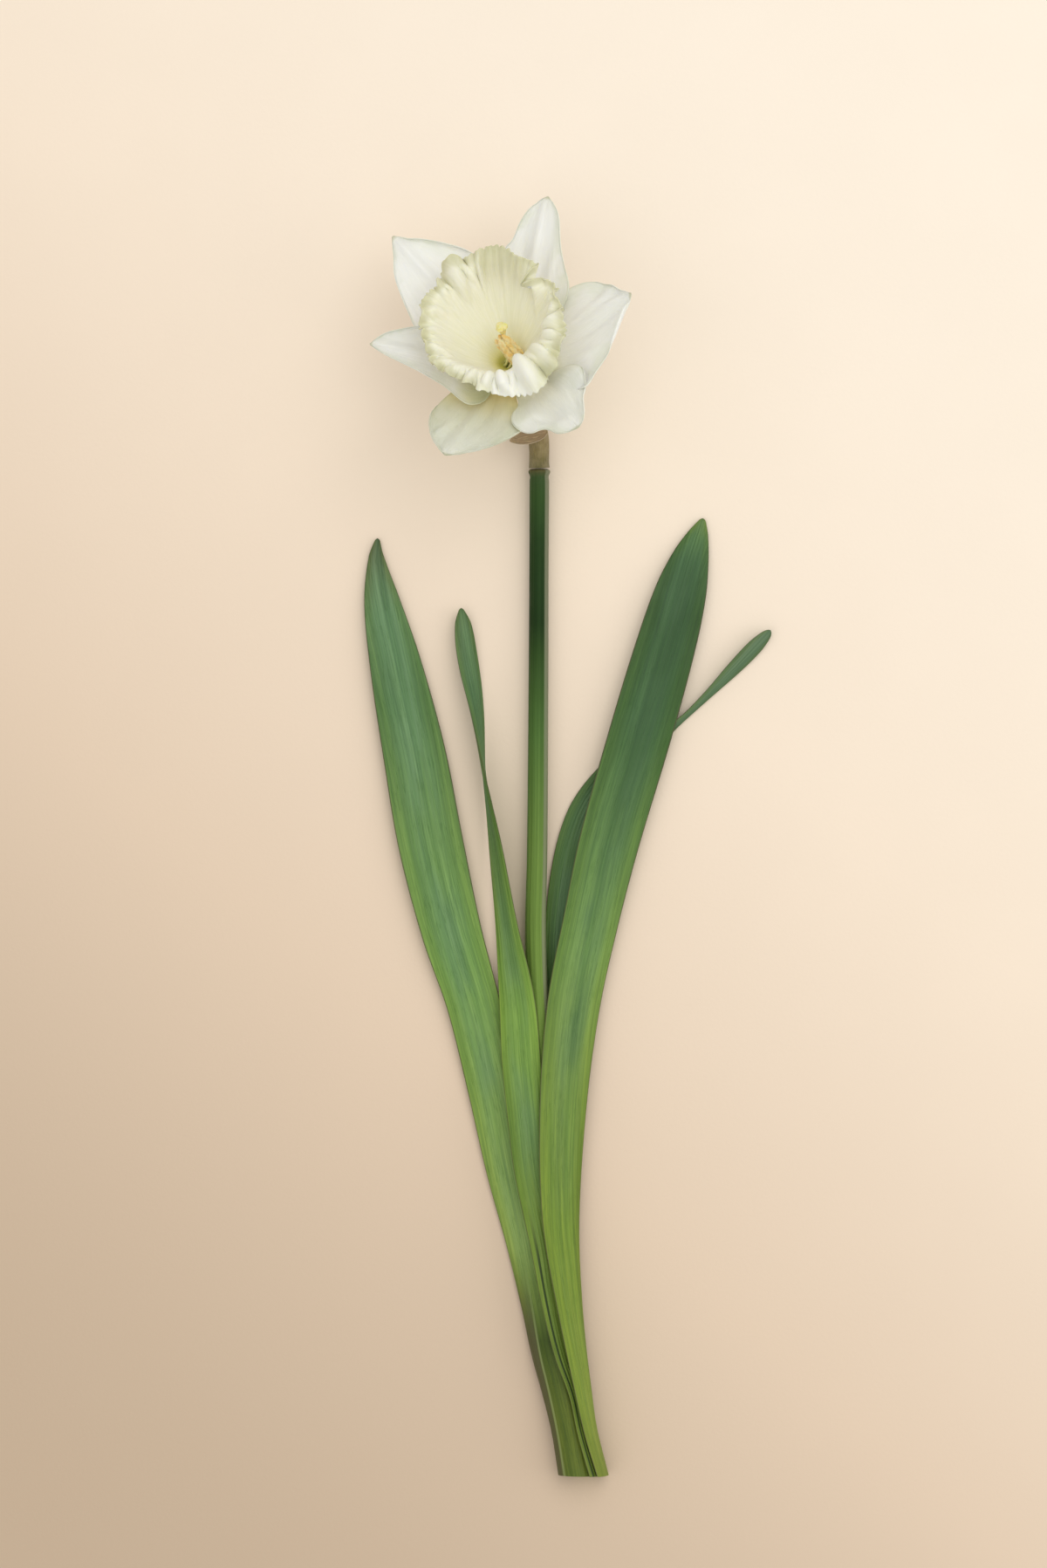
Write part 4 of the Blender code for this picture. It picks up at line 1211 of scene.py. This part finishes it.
# %% Dents of the tepals
# bulges and hollows: distance out, distance to the side, half length, half width, turn, rise
DENTS = {
    "lower_right": (
        (24.0, 10.0, 7.0, 5.0, 30.0, 3.0), (28.0, 13.5, 6.0, 3.0, 0.0, 1.8),
        (33.0, 0.0, 7.0, 3.6, 0.0, -1.1), (38.0, 4.6, 6.5, 1.0, -12.0, -0.8),
        (29.0, -10.5, 5.0, 4.0, 10.0, 1.3), (36.5, -9.5, 3.0, 2.6, 0.0, 1.0),
        (33.5, -6.8, 4.0, 1.3, 20.0, -0.7), (41.0, -3.5, 3.5, 2.4, 0.0, 0.9),
    ),
    "right": (
        (22.0, -22.0, 9.0, 6.0, 0.0, -1.6), (27.0, 3.5, 9.0, 1.7, 12.0, 1.1),
        (30.0, -3.5, 10.0, 1.6, 6.0, -0.9), (26.0, -12.0, 9.0, 2.0, -10.0, 0.8),
        (33.0, 8.0, 6.0, 2.2, 24.0, -0.8), (36.0, 1.5, 5.0, 1.3, 0.0, 0.5),
    ),
    "left": (
        (14.0, 12.0, 5.0, 5.0, 0.0, 0.9), (24.0, 3.0, 8.0, 1.4, 0.0, 0.6),
        (28.0, -3.0, 7.0, 1.3, 0.0, -0.5),
    ),
    "lower_left": (
        (26.0, 8.0, 8.0, 2.6, 10.0, 0.9), (31.0, -4.0, 9.0, 2.0, -6.0, -0.8),
        (36.0, -7.0, 6.0, 1.4, -16.0, 0.9), (30.0, 14.0, 5.0, 3.0, 0.0, 0.8),
        (35.0, 4.0, 5.0, 1.4, 0.0, 0.5),
    ),
    "upper_left": (
        (34.0, 0.0, 12.0, 1.4, 0.0, 1.1), (30.0, 6.5, 9.0, 2.2, 6.0, -1.0),
        (31.0, -8.0, 8.0, 2.4, -8.0, 0.8), (27.0, -4.0, 9.0, 1.6, -4.0, -0.8),
    ),
    "top": (
        (33.0, 1.0, 10.0, 1.5, 0.0, 0.8), (29.0, 5.0, 9.0, 1.4, 4.0, -1.0),
        (30.0, -6.0, 7.0, 1.6, -4.0, 0.6),
    ),
}
print("dents:", sum(len(rows) for rows in DENTS.values()))

# %% Make the tepals
# painted shade: how strongly the trumpet's shadow is painted on each lower tepal
PAINTED_SHADE = {"lower_left": 0.9, "lower_right": 0.3}
# share of the length from which a margin rolls in
USUAL_ROLL = 0.5
LATE_ROLL = {"right": 0.68}
for number, (label, shape) in enumerate(TEPALS.items()):
    rolled_from = LATE_ROLL.get(label, USUAL_ROLL)
    net, side, t, outs = tepal_net(shape, 100 + 10 * number, DENTS[label], rolled_from)
    placed = into_place(turned(net, shape[0]))
    growth = facts(side * 14.0, outs, number * 9.0)
    place = facts(side, t, PAINTED_SHADE.get(label, 0.0))
    petal = net_piece("tepal_" + label, placed, growth, place, petal_skin)
    thicken(petal, TEPAL_THICK)
    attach(petal, "root")
    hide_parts("perianth")
    print(petal.name, len(petal.data.polygons), "faces, tip at", placed[-1, TEPAL_COLUMNS // 2].round(1))

# %% [markdown]
# ### The hub
# The six tepals and the trumpet spring from the flared end of the floral tube. A small turned cup closes
# the ring between them.

# %% Hub cup
HUB = ((-0.6, 4.6), (0.1, 5.6), (0.7, 6.9), (1.4, 7.3), (2.0, 6.9), (2.3, 5.6), (2.4, 2.4), (2.45, 0.15))
run, at = run_through([(0.0, 0.0, h, radius) for h, radius in HUB], np.linspace(0.0, 1.0, 40))
angle = np.linspace(0.0, 2.0 * np.pi, 72, endpoint=False)[None, :]
radius = run[:, 3][:, None] * (1.0 + 0.03 * np.cos(6 * angle))
net = facts(radius * np.cos(angle), radius * np.sin(angle), run[:, 2][:, None])
growth = facts(angle * 6.0, at[:, None], 0.0)
place = facts(np.cos(angle), 0.02 + 0.0 * at[:, None], 0.0)
hub = net_piece("bloom_hub", into_place(net), growth, place, petal_skin, around=True, caps=True)
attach(hub, "root")
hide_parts("perianth")
print(hub.name, len(hub.data.polygons), "faces")

# %% [markdown]
# ## The corona
# The trumpet is one sheet: a narrow throat that opens to a wide ruffled mouth. On the side away from the
# viewer it stands up as a tall fan with a finely toothed edge, and on the near side its lip rolls over and
# out in plump curls. A lathe would give a clean funnel, so the profile is drawn anew at every angle from
# tables of the crest and the rim, and the ruffles are added on top where the sheet has more rim than room.

# %% Crest and rim of the corona: angle, distance from the axis, height
RIM = (
    (8, 22.3, 24), (22, 21.9, 25.5), (30, 21.8, 26), (36, 20.0, 26.5), (41, 16.2, 27), (45, 15.8, 26.5),
    (49, 22.2, 25.5), (54, 22.8, 25.5), (63, 22.4, 26), (74, 22.6, 26.5), (81, 24.5, 26.5), (91, 26.3, 26),
    (100, 25.8, 26), (108, 24.6, 26), (114, 24.8, 26), (119, 26.4, 23.4), (128, 27.8, 21.5),
    (137, 25.6, 22.5), (143, 22.6, 24.6), (150, 23.0, 26), (162, 24.0, 26), (171, 23.4, 25),
    (187, 22.8, 24), (200, 22.2, 22), (211, 23.2, 21.5), (231, 21.4, 20), (247, 19.6, 18), (261, 21.0, 17),
    (275, 22.8, 15.6), (288, 24.2, 15), (302, 26.2, 15), (320, 24.2, 17), (334, 23.8, 20), (347, 23.8, 22),
)
CREST = (
    (0, 18.4, 21.8), (45, 17.6, 22.8), (90, 19.4, 22.2), (125, 18.8, 22.4), (160, 18.4, 21.8),
    (190, 18.0, 21.2), (215, 17.6, 20.4), (245, 16.4, 19.2), (275, 17.0, 18.8), (290, 17.2, 18.8),
    (313, 16.8, 20.0), (335, 17.8, 21.2),
)
# the ruffles: angle, height, half width in degrees, how far up the wall each starts, lean, plumpness
RUFFLES = (
    (8, 2.2, 4.8, 0.58, 6, 0.9), (21, 1.5, 3.4, 0.68, -4, 0.8), (31, 1.2, 2.6, 0.72, 3, 0.6),
    (38, 3.2, 5.2, 0.48, 7, 0.9), (56, 0.7, 3.0, 0.66, 0, 0.3), (68, 0.40, 2.8, 0.50, 2, 0.2),
    (77, 0.3, 2.2, 0.55, -2, 0.2), (84, 0.4, 3.0, 0.45, 1, 0.2), (92, 0.25, 2.0, 0.60, 0, 0.2),
    (98, 0.35, 2.4, 0.50, -2, 0.2), (105, 2.0, 1.9, 0.50, -2, 0.5), (116, 1.9, 3.4, 0.64, 5, 0.9),
    (127, 3.3, 5.2, 0.54, -3, 1.0), (138, 1.4, 2.8, 0.70, 5, 0.8), (147, 2.1, 3.2, 0.64, -4, 0.9),
    (156, 1.1, 2.4, 0.74, 3, 0.7), (165, 2.1, 4.2, 0.60, 5, 0.9), (175, 1.1, 2.3, 0.72, -4, 0.7),
    (182, 1.8, 2.8, 0.64, 3, 0.9), (188.5, 1.2, 2.0, 0.70, -2, 0.7), (194.5, 1.5, 2.2, 0.68, 2, 0.8),
    (205, 2.5, 3.8, 0.60, -7, 1.0), (214, 1.3, 2.1, 0.74, 4, 0.7), (220, 1.8, 2.4, 0.70, -3, 0.9),
    (227, 1.2, 1.9, 0.76, 3, 0.6), (233, 2.0, 2.8, 0.68, -5, 0.9), (241, 1.3, 2.0, 0.76, 4, 0.7),
    (247, 2.1, 2.8, 0.66, -3, 1.0), (255, 1.5, 2.4, 0.72, 4, 0.8), (264, 2.6, 3.6, 0.60, -4, 1.0),
    (272, 1.2, 2.1, 0.74, 0, 0.7), (280, 3.0, 4.2, 0.57, 3, 1.0), (291, 1.8, 2.8, 0.70, -5, 0.9),
    (303, 4.1, 5.6, 0.52, 0, 1.0), (315, 1.9, 2.7, 0.70, 5, 0.8), (322, 2.7, 3.8, 0.58, -4, 1.0),
    (332, 1.7, 2.7, 0.68, 4, 0.8), (341, 2.9, 3.6, 0.58, -3, 1.0), (354, 3.3, 4.4, 0.54, 4, 1.0),
)
print("rim widest", max(r for _, r, _ in RIM), "mm, lowest", min(h for _, _, h in RIM), "mm")


# %% Read a table round the circle
def round_table(table, degrees, column=1, soften=5.0):
    """A column of a table read at each angle, softened over a few degrees."""
    turns = np.arange(720) / 2.0
    values = np.interp(turns, [row[0] for row in table], [row[column] for row in table], period=360.0)
    offsets = np.minimum(turns, 360.0 - turns)
    bell = np.exp(-0.5 * (offsets / soften) ** 2)
    smooth = np.real(np.fft.ifft(np.fft.fft(values) * np.fft.fft(bell / bell.sum())))
    return np.interp(degrees, turns, smooth, period=360.0)


CORONA_SIDES = 540
CORONA_ROWS = 84
CORONA_THICK = 0.45
degrees = np.linspace(0.0, 360.0, CORONA_SIDES, endpoint=False)
v = np.linspace(0.0, 1.0, CORONA_ROWS)
print("corona net:", CORONA_ROWS, "x", CORONA_SIDES)

# %% Profile of the sheet at every angle
rim_r, rim_h = round_table(RIM, degrees, 1, 1.8), round_table(RIM, degrees, 2, 2.5)
crest_r, crest_h = round_table(CREST, degrees, 1, 10.0), round_table(CREST, degrees, 2, 10.0)
theta = np.radians(degrees)
ray = np.stack([np.cos(theta), np.sin(theta)], axis=-1)
THROAT_AT = np.array((0.2, -3.5))  # x and y of the throat in mm
# shares of the sheet's length at its foot, neck, wall, crest and rim
KNOTS = np.array((0.0, 0.14, 0.42, 0.76, 1.0))


def ring_at(centre, radius, height):
    """Points round a centre at this radius and height."""
    plan = np.asarray(centre) + ray * np.reshape(radius, (-1, 1))
    return np.column_stack([plan, np.broadcast_to(height, len(ray))])


foot_ring, neck_ring = ring_at(THROAT_AT, 0.3, 2.75), ring_at(THROAT_AT * 0.97, 4.0, 5.4)
crest_ring, rim_ring = ring_at((0.0, 0.0), crest_r, crest_h), ring_at((0.0, 0.0), rim_r, rim_h)
flow = np.stack([foot_ring, neck_ring, 0.53 * neck_ring + 0.47 * crest_ring, crest_ring, rim_ring])
slopes = np.empty_like(flow)
slopes[1:-1] = (flow[2:] - flow[:-2]) / (KNOTS[2:] - KNOTS[:-2])[:, None, None]
slopes[0] = (flow[1] - flow[0]) / KNOTS[1]
# the sheet turns out a little faster at the very rim
slopes[-1] = 1.4 * (flow[-1] - flow[-2]) / (KNOTS[-1] - KNOTS[-2]) - 0.4 * slopes[-2]
piece_of = np.clip(np.searchsorted(KNOTS, v, side="right") - 1, 0, 3)
span = (KNOTS[piece_of + 1] - KNOTS[piece_of])[:, None, None]
s = (v - KNOTS[piece_of])[:, None, None] / span
profile = flow[piece_of] + (flow[piece_of + 1] - flow[piece_of]) * (3 * s**2 - 2 * s**3)
profile += slopes[piece_of] * (s**3 - 2 * s**2 + s) * span + slopes[piece_of + 1] * (s**3 - s**2) * span
# three directions at every point: along the sheet, round it and out of its inner face
tangent = np.gradient(profile, axis=0)
tangent /= np.linalg.norm(tangent, axis=2)[..., None]
around = np.stack([-np.sin(theta), np.cos(theta), 0.0 * theta], axis=-1)[None]
inward = np.cross(tangent, around)
inward /= np.linalg.norm(inward, axis=2)[..., None]
print("profile ready: throat", profile[0, 0].round(1), "to rim", profile[-1, 0].round(1))

# %% [markdown]
# ### Ruffles
# A ruffle forms because the rim grows longer than the circle it sits on. Each one is a plump bulge with a
# narrow valley on either side, and no two match, so a sine round the rim would look like a cog wheel. Here
# every ruffle has its own row: where it sits, how high and wide it is, how far down the wall it reaches and
# how it leans. Points also slide sideways away from each crest, which rounds the crest and tightens the
# valley. The wall wanders a little before the rows are read, so that no fold runs dead straight.

# %% Ruffles, pleats and teeth
# stretches of the trumpet: middle and half width in degrees
TALL_FAN = (83.0, 24.0)
LOW_FRONT = (284.0, 24.0)
TIGHT_FOLD = (42.5, 4.5)
USUAL_RIM = 21.0  # mm from the axis, where a slide in degrees becomes one in mm
rise_v = v[:, None]
theta = theta[None, :]
turned_by = degrees[None, :]
wander = 2.6 * ripple(theta * 5.0, rise_v * 7.0, 710, 7) + 0.9 * ripple(theta * 13.0, rise_v * 15.0, 711, 7)
late = smoothstep(rise_v, 0.76, 1.0)
lift = np.zeros((CORONA_ROWS, CORONA_SIDES))
slide = np.zeros_like(lift)
# each row raises a bulge with a valley on either side, and slides points away from its crest
for crest_at, tall, wide, starts, lean, plump in RUFFLES:
    off = turned_by + wander * smoothstep(rise_v, 0.5, 0.9) - crest_at - lean * (rise_v - 0.82) / 0.18
    off = ((off + 180.0) % 360.0 - 180.0) / wide
    here = smoothstep(rise_v, starts, min(starts + 0.34, 1.0))
    lift += tall * here * (1.7 * hump(off, 0.0, 1.0) - 0.7 * hump(off, 0.0, 1.7))
    slide += plump * here * math.radians(wide) * USUAL_RIM * off * hump(off, 0.0, 1.0)
# the near lip lies flatter, and the tall fan has next to no small crumples
low_front = hump(turned_by, *LOW_FRONT, 4)
settle = 1.0 - 0.7 * low_front * smoothstep(rise_v, 0.88, 1.0)
fan = hump(turned_by, *TALL_FAN, 6)
small = 0.5 * ripple(theta * 15.0, rise_v * 10.0, 700, 9) + 0.4 * ripple(theta * 38.0, rise_v * 24.0, 701, 9)
lift = lift * settle + small * (0.12 + 0.88 * late) * smoothstep(rise_v, 0.5, 0.9) * (1.0 - 0.75 * fan)
slide = slide * settle + 2.7 * hump(turned_by, *TIGHT_FOLD) * smoothstep(rise_v, 0.68, 1.0)
# long pleats run down the wall, and fine teeth stand along the very edge
pleats = 0.75 * ripple(theta * 5.0, rise_v * 2.0, 720, 5) * smoothstep(rise_v, 0.14, 0.42)
pleats = pleats * (1.0 - 0.5 * late)
pleats = pleats + 0.32 * np.sin(6.0 * theta + 0.6) * smoothstep(rise_v, 0.12, 0.5)
pleats = pleats + 0.06 * np.sin(23.0 * theta + np.sin(4.0 * theta)) * smoothstep(rise_v, 0.25, 0.7)
toothed = np.abs(np.sin(34.0 * theta + 1.6 * np.sin(5.0 * theta))) ** 0.7
toothed = toothed + 0.35 * np.sin(83.0 * theta + np.sin(7.0 * theta) * 2.0)
teeth = 0.6 * smoothstep(rise_v, 0.9, 1.0) * toothed
net = profile + inward * (lift + pleats)[..., None] + tangent * teeth[..., None] + around * slide[..., None]
print("corona reaches", round(float(np.hypot(net[..., 0], net[..., 1]).max()), 1), "mm from its axis")

# %% [markdown]
# ### Corona finish
# The trumpet is cream, with a green-gold throat that fades up the wall and faint ribs from throat to rim.
# Painted olive shade lies on the tall fan, which faces away from the light, and on the edge all round, and a
# painted highlight makes the plump curls in front, which face the light, nearly white. It is as thin as a
# petal, so it glows too.

# %% Corona finish
corona_skin, tree, shader = new_finish("corona_cream", 0.5)
growth, place = stored_facts(tree)
veins = use_group(tree, streaks, Growth=growth, Across=0.9, Along=0.05, Seed=83.0)
cloud = use_group(tree, mottle, Size=6.0, Skin_size=0.28)
base = colour_run(tree, place[1], (
    (0.0, (0.28, 0.29, 0.02)), (0.09, (0.58, 0.54, 0.08)), (0.15, (0.90, 0.84, 0.42)),
    (0.22, (0.91, 0.875, 0.62)), (0.32, (0.885, 0.865, 0.685)), (0.72, (0.82, 0.80, 0.67)),
    (0.9, (0.85, 0.845, 0.72)), (1.0, (0.81, 0.81, 0.66))))
body = tinted(tree, product(tree, veins["Threads"], 0.35), base, (0.87, 0.88, 0.76))
body = tinted(tree, product(tree, veins["Bands"], 0.3), body, (0.90, 0.905, 0.82))
# painted shade on the tall fan and the rim edge, then a painted highlight on the near curls
body = tinted(tree, window(tree, place[2], 0.0, 1.0), body, (0.74, 0.73, 0.60))
body = blend_colours(tree, window(tree, place[2], 0.0, -1.0), body, (0.92, 0.92, 0.83))
body = blend_colours(tree, product(tree, cloud["Clouds"], 0.2), body, (0.86, 0.84, 0.68))
feed(tree, body, shader.inputs["Base Color"])
relief = sums(tree, "ADD", product(tree, veins["Threads"], 0.6), product(tree, cloud["Skin"], 0.4))
bump_from(tree, shader, relief, 0.06, 0.6)
glow(shader, 0.7, 0.8, (1.0, 0.95, 0.65))
shader.inputs["Specular IOR Level"].default_value = 0.3
print("finish:", corona_skin.name)

# %% The corona itself
growth = facts(theta * 14.0, rise_v * 32.0, 0.0)
# the third value of place is above 0 where painted shade makes the tissue olive, and below 0 where a painted
# highlight makes it nearly white
fan_painted_shade = 0.9 * fan * smoothstep(rise_v, 0.45, 0.95)
rim_painted_shade = 0.75 * (1.0 - low_front) * smoothstep(rise_v, 0.84, 0.98)
curls_painted_highlight = 0.8 * low_front * smoothstep(rise_v, 0.6, 0.8)
place = facts(np.cos(theta), rise_v, np.maximum(fan_painted_shade, rim_painted_shade) - curls_painted_highlight)
corona = net_piece("corona_trumpet", into_place(net), growth, place, corona_skin, around=True)
thicken(corona, CORONA_THICK)
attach(corona, "root")
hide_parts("corona")
print(corona.name, len(corona.data.polygons), "faces")

# %% [markdown]
# ## Stamens
# Six stamens stand round the style. Each slim filament carries a long anther that has split down its length
# and turned its pollen out, so it looks furrowed, twisted and grainy. They have leaned together to one side
# in the throat. An anther is a two-lobed section that twists as it is swept along a bent line, with a rough
# skin added to it.

# %% Filament and anther lines
CLUSTER_FOOT = np.array((4.9, -4.6, 6.8))
CLUSTER_TOP = np.array((0.6, -1.7, 16.2))
ANTHER_RING = 1.75
ANTHER_R = 1.05
FOOT_RING = 1.7
UP = np.array((0.0, 0.0, 1.0))


def stamen_lines(number):
    """Stations of one filament and of its anther about the upright axis."""
    turn_by = math.radians(60.0 * number + 20.0)
    ring = np.array((math.cos(turn_by), math.sin(turn_by), 0.0))
    foot = np.array((*THROAT_AT, 2.9)) + ring * FOOT_RING
    wander = np.random.default_rng(300 + number).normal(0.0, 0.28, (3, 3))
    low = CLUSTER_FOOT + ring * ANTHER_RING * 1.25 + wander[0] + UP * 0.5 * math.sin(number * 2.0)
    mid = (CLUSTER_FOOT + CLUSTER_TOP) / 2.0 + ring * ANTHER_RING + wander[1]
    top = CLUSTER_TOP + ring * ANTHER_RING * 0.7 + wander[2] + UP * 0.8 * math.cos(number * 1.7)
    knee = 0.6 * foot + 0.4 * low + UP * 1.2
    filament = [(*foot, 0.55), (*knee, 0.42), (*(0.4 * low + 0.6 * mid), 0.3)]
    lower, upper = 0.75 * low + 0.25 * mid, 0.3 * mid + 0.7 * top
    anther = [(*low, 0.35), (*lower, 0.95), (*mid, ANTHER_R), (*upper, 0.95), (*top, 0.3)]
    return filament, anther


print("stamens lean from", CLUSTER_FOOT, "to", CLUSTER_TOP)


# %% Join several nets into one piece
def join_nets(name, nets, material):
    """One mesh from several ringed nets, each with closed ends."""
    made = [net_piece(name + "_part", *net, material, around=True, caps=True) for net in nets]
    work = bmesh.new()
    for part in made:
        work.from_mesh(part.data)
    mesh = bpy.data.meshes.new(name)
    work.to_mesh(mesh)
    work.free()
    mesh.materials.append(material)
    mesh.shade_smooth()
    for part in made:
        bpy.data.objects.remove(part, do_unlink=True)
    piece = bpy.data.objects.new(name, mesh)
    scene.collection.objects.link(piece)
    return piece


print("net joiner ready")


# %% Nets of the stamens
def two_lobed(angle):
    """Section of an anther: two lobes with a furrow between them."""
    return 0.78 + 0.34 * np.abs(np.cos(angle)) ** 0.8 - 0.10 * hump(np.sin(angle), 0.0, 0.25)


STAMENS = 6
ANTHER_SIDES = 48
filament_nets, anther_nets = [], []
for number in range(STAMENS):
    filament, anther = stamen_lines(number)
    run, at = run_through(filament, np.linspace(0.0, 1.0, 24))
    points, angle = sweep(run, lambda a: 1.0 + 0.0 * a, 16)
    growth = facts(angle * 0.5, at[:, None], number)
    filament_nets.append((into_place(points), growth, place_along(np.cos(angle), at)))
    run, at = run_through(anther, np.linspace(0.0, 1.0, 90))
    twist = 0.16 * at[:, None] + number
    points, angle = sweep(run, lambda a: two_lobed(a + twist), ANTHER_SIDES)
    rough = 0.17 * ripple(at[:, None] * 3.1, angle * 3.0, 400 + number, 9)
    rough = rough + 0.1 * ripple(at[:, None] * 9.0, angle * 8.0, 420 + number, 9)
    growth = facts(angle * 0.9, at[:, None], number)
    anther_nets.append((into_place(swollen(points, run, rough)), growth, place_along(np.cos(angle), at)))
print("stamen nets:", len(filament_nets), "filaments and", len(anther_nets), "anthers")

# %% Pollen finish
pollen, tree, shader = new_finish("anther_pollen", 0.85)
where = tree.nodes.new("ShaderNodeTexCoord")
grains = tree.nodes.new("ShaderNodeTexVoronoi")
grains.inputs["Scale"].default_value = 6500.0
feed(tree, where.outputs["Object"], grains.inputs["Vector"])
cloud = use_group(tree, mottle, Size=1.3, Skin_size=0.14)
heap = window(tree, grains.outputs["Distance"], 0.0, 0.6, 1.0, 0.0)
body = blend_colours(tree, cloud["Clouds"], (1.0, 0.71, 0.26), (1.0, 0.90, 0.58))
# painted shade in the hollows between the pollen grains
hollow = blend_colours(tree, 1.0, body, (0.96, 0.87, 0.72), "MULTIPLY")
body = blend_colours(tree, product(tree, heap, 0.6), hollow, body)
feed(tree, body, shader.inputs["Base Color"])
bump_from(tree, shader, sums(tree, "ADD", heap, cloud["Skin"]), 0.07)
shader.inputs["Sheen Weight"].default_value = 0.2
glow(shader, 0.6, 0.7, (1.0, 0.8, 0.45))
print("finish:", pollen.name)

# %% Filament finish
filament_skin, tree, shader = new_finish("filament_skin", 0.45)
_, place = stored_facts(tree)
cloud = use_group(tree, mottle, Size=1.5, Skin_size=0.12)
body = colour_run(tree, place[1], (
    (0.0, (0.45, 0.48, 0.11)), (0.5, (0.78, 0.76, 0.36)), (1.0, (0.88, 0.80, 0.40))))
body = blend_colours(tree, product(tree, cloud["Clouds"], 0.3), body, (0.86, 0.84, 0.6))
feed(tree, body, shader.inputs["Base Color"])
bump_from(tree, shader, cloud["Skin"], 0.03)
glow(shader, 0.2, 1.0)
print("finish:", filament_skin.name)

# %% The filaments and anthers
filaments = join_nets("filaments", filament_nets, filament_skin)
anthers = join_nets("anthers", anther_nets, pollen)
for piece in (filaments, anthers):
    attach(piece, "root")
    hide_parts("stamens")
    print(piece.name, len(piece.data.polygons), "faces")

# %% [markdown]
# ## Style and stigma
# The style is a slim three-sided stalk up the middle of the trumpet. Its stigma is a small yellow knob of
# three blunt lobes that just clears the anthers.

# %% Style and stigma
# stations: x, y, height and radius about the upright axis
STYLE = (
    (0.2, -3.4, 2.7, 0.9), (1.0, -3.2, 7.5, 0.75), (1.6, -1.6, 13.0, 0.72), (1.6, 0.0, 17.0, 0.8),
    (1.6, 0.3, 17.9, 1.0),
)
STIGMA = (
    (1.6, -0.3, 16.4, 0.8), (1.6, 0.1, 17.6, 1.35), (1.6, 0.4, 18.7, 1.95), (1.6, 0.5, 19.4, 1.5),
    (1.6, 0.55, 19.7, 0.3),
)
STIGMA_SIDES = 96
run, at = run_through(STYLE, np.linspace(0.0, 1.0, 50))
points, angle = sweep(run, lambda a: 1.0 + 0.12 * np.cos(3 * a), 24)
growth = facts(angle * 0.8, at[:, None], 0.0)
place = place_along(np.cos(angle), at)
style = net_piece("style_stalk", into_place(points), growth, place, filament_skin, around=True, caps=True)
run, at = run_through(STIGMA, np.linspace(0.0, 1.0, 50))
points, angle = sweep(run, lambda a: 0.72 + 0.34 * np.abs(np.cos(1.5 * a + 0.5)) ** 0.6, STIGMA_SIDES)
points = swollen(points, run, 0.06 * ripple(at[:, None] * 7.0, angle * 9.0, 500, 9))
stigma_skin, tree, shader = new_finish("stigma_yellow", 0.5)
cloud = use_group(tree, mottle, Size=0.9, Skin_size=0.12)
body = blend_colours(tree, cloud["Clouds"], (0.97, 0.84, 0.24), (0.98, 0.92, 0.48))
feed(tree, body, shader.inputs["Base Color"])
bump_from(tree, shader, cloud["Skin"], 0.08)
glow(shader, 0.2, 1.0)
growth = facts(angle, at[:, None], 0.0)
place = place_along(np.cos(angle), at)
stigma = net_piece("stigma_knob", into_place(points), growth, place, stigma_skin, around=True, caps=True)
for piece in (style, stigma):
    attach(piece, "root")
    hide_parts("style")
    print(piece.name, len(piece.data.polygons), "faces")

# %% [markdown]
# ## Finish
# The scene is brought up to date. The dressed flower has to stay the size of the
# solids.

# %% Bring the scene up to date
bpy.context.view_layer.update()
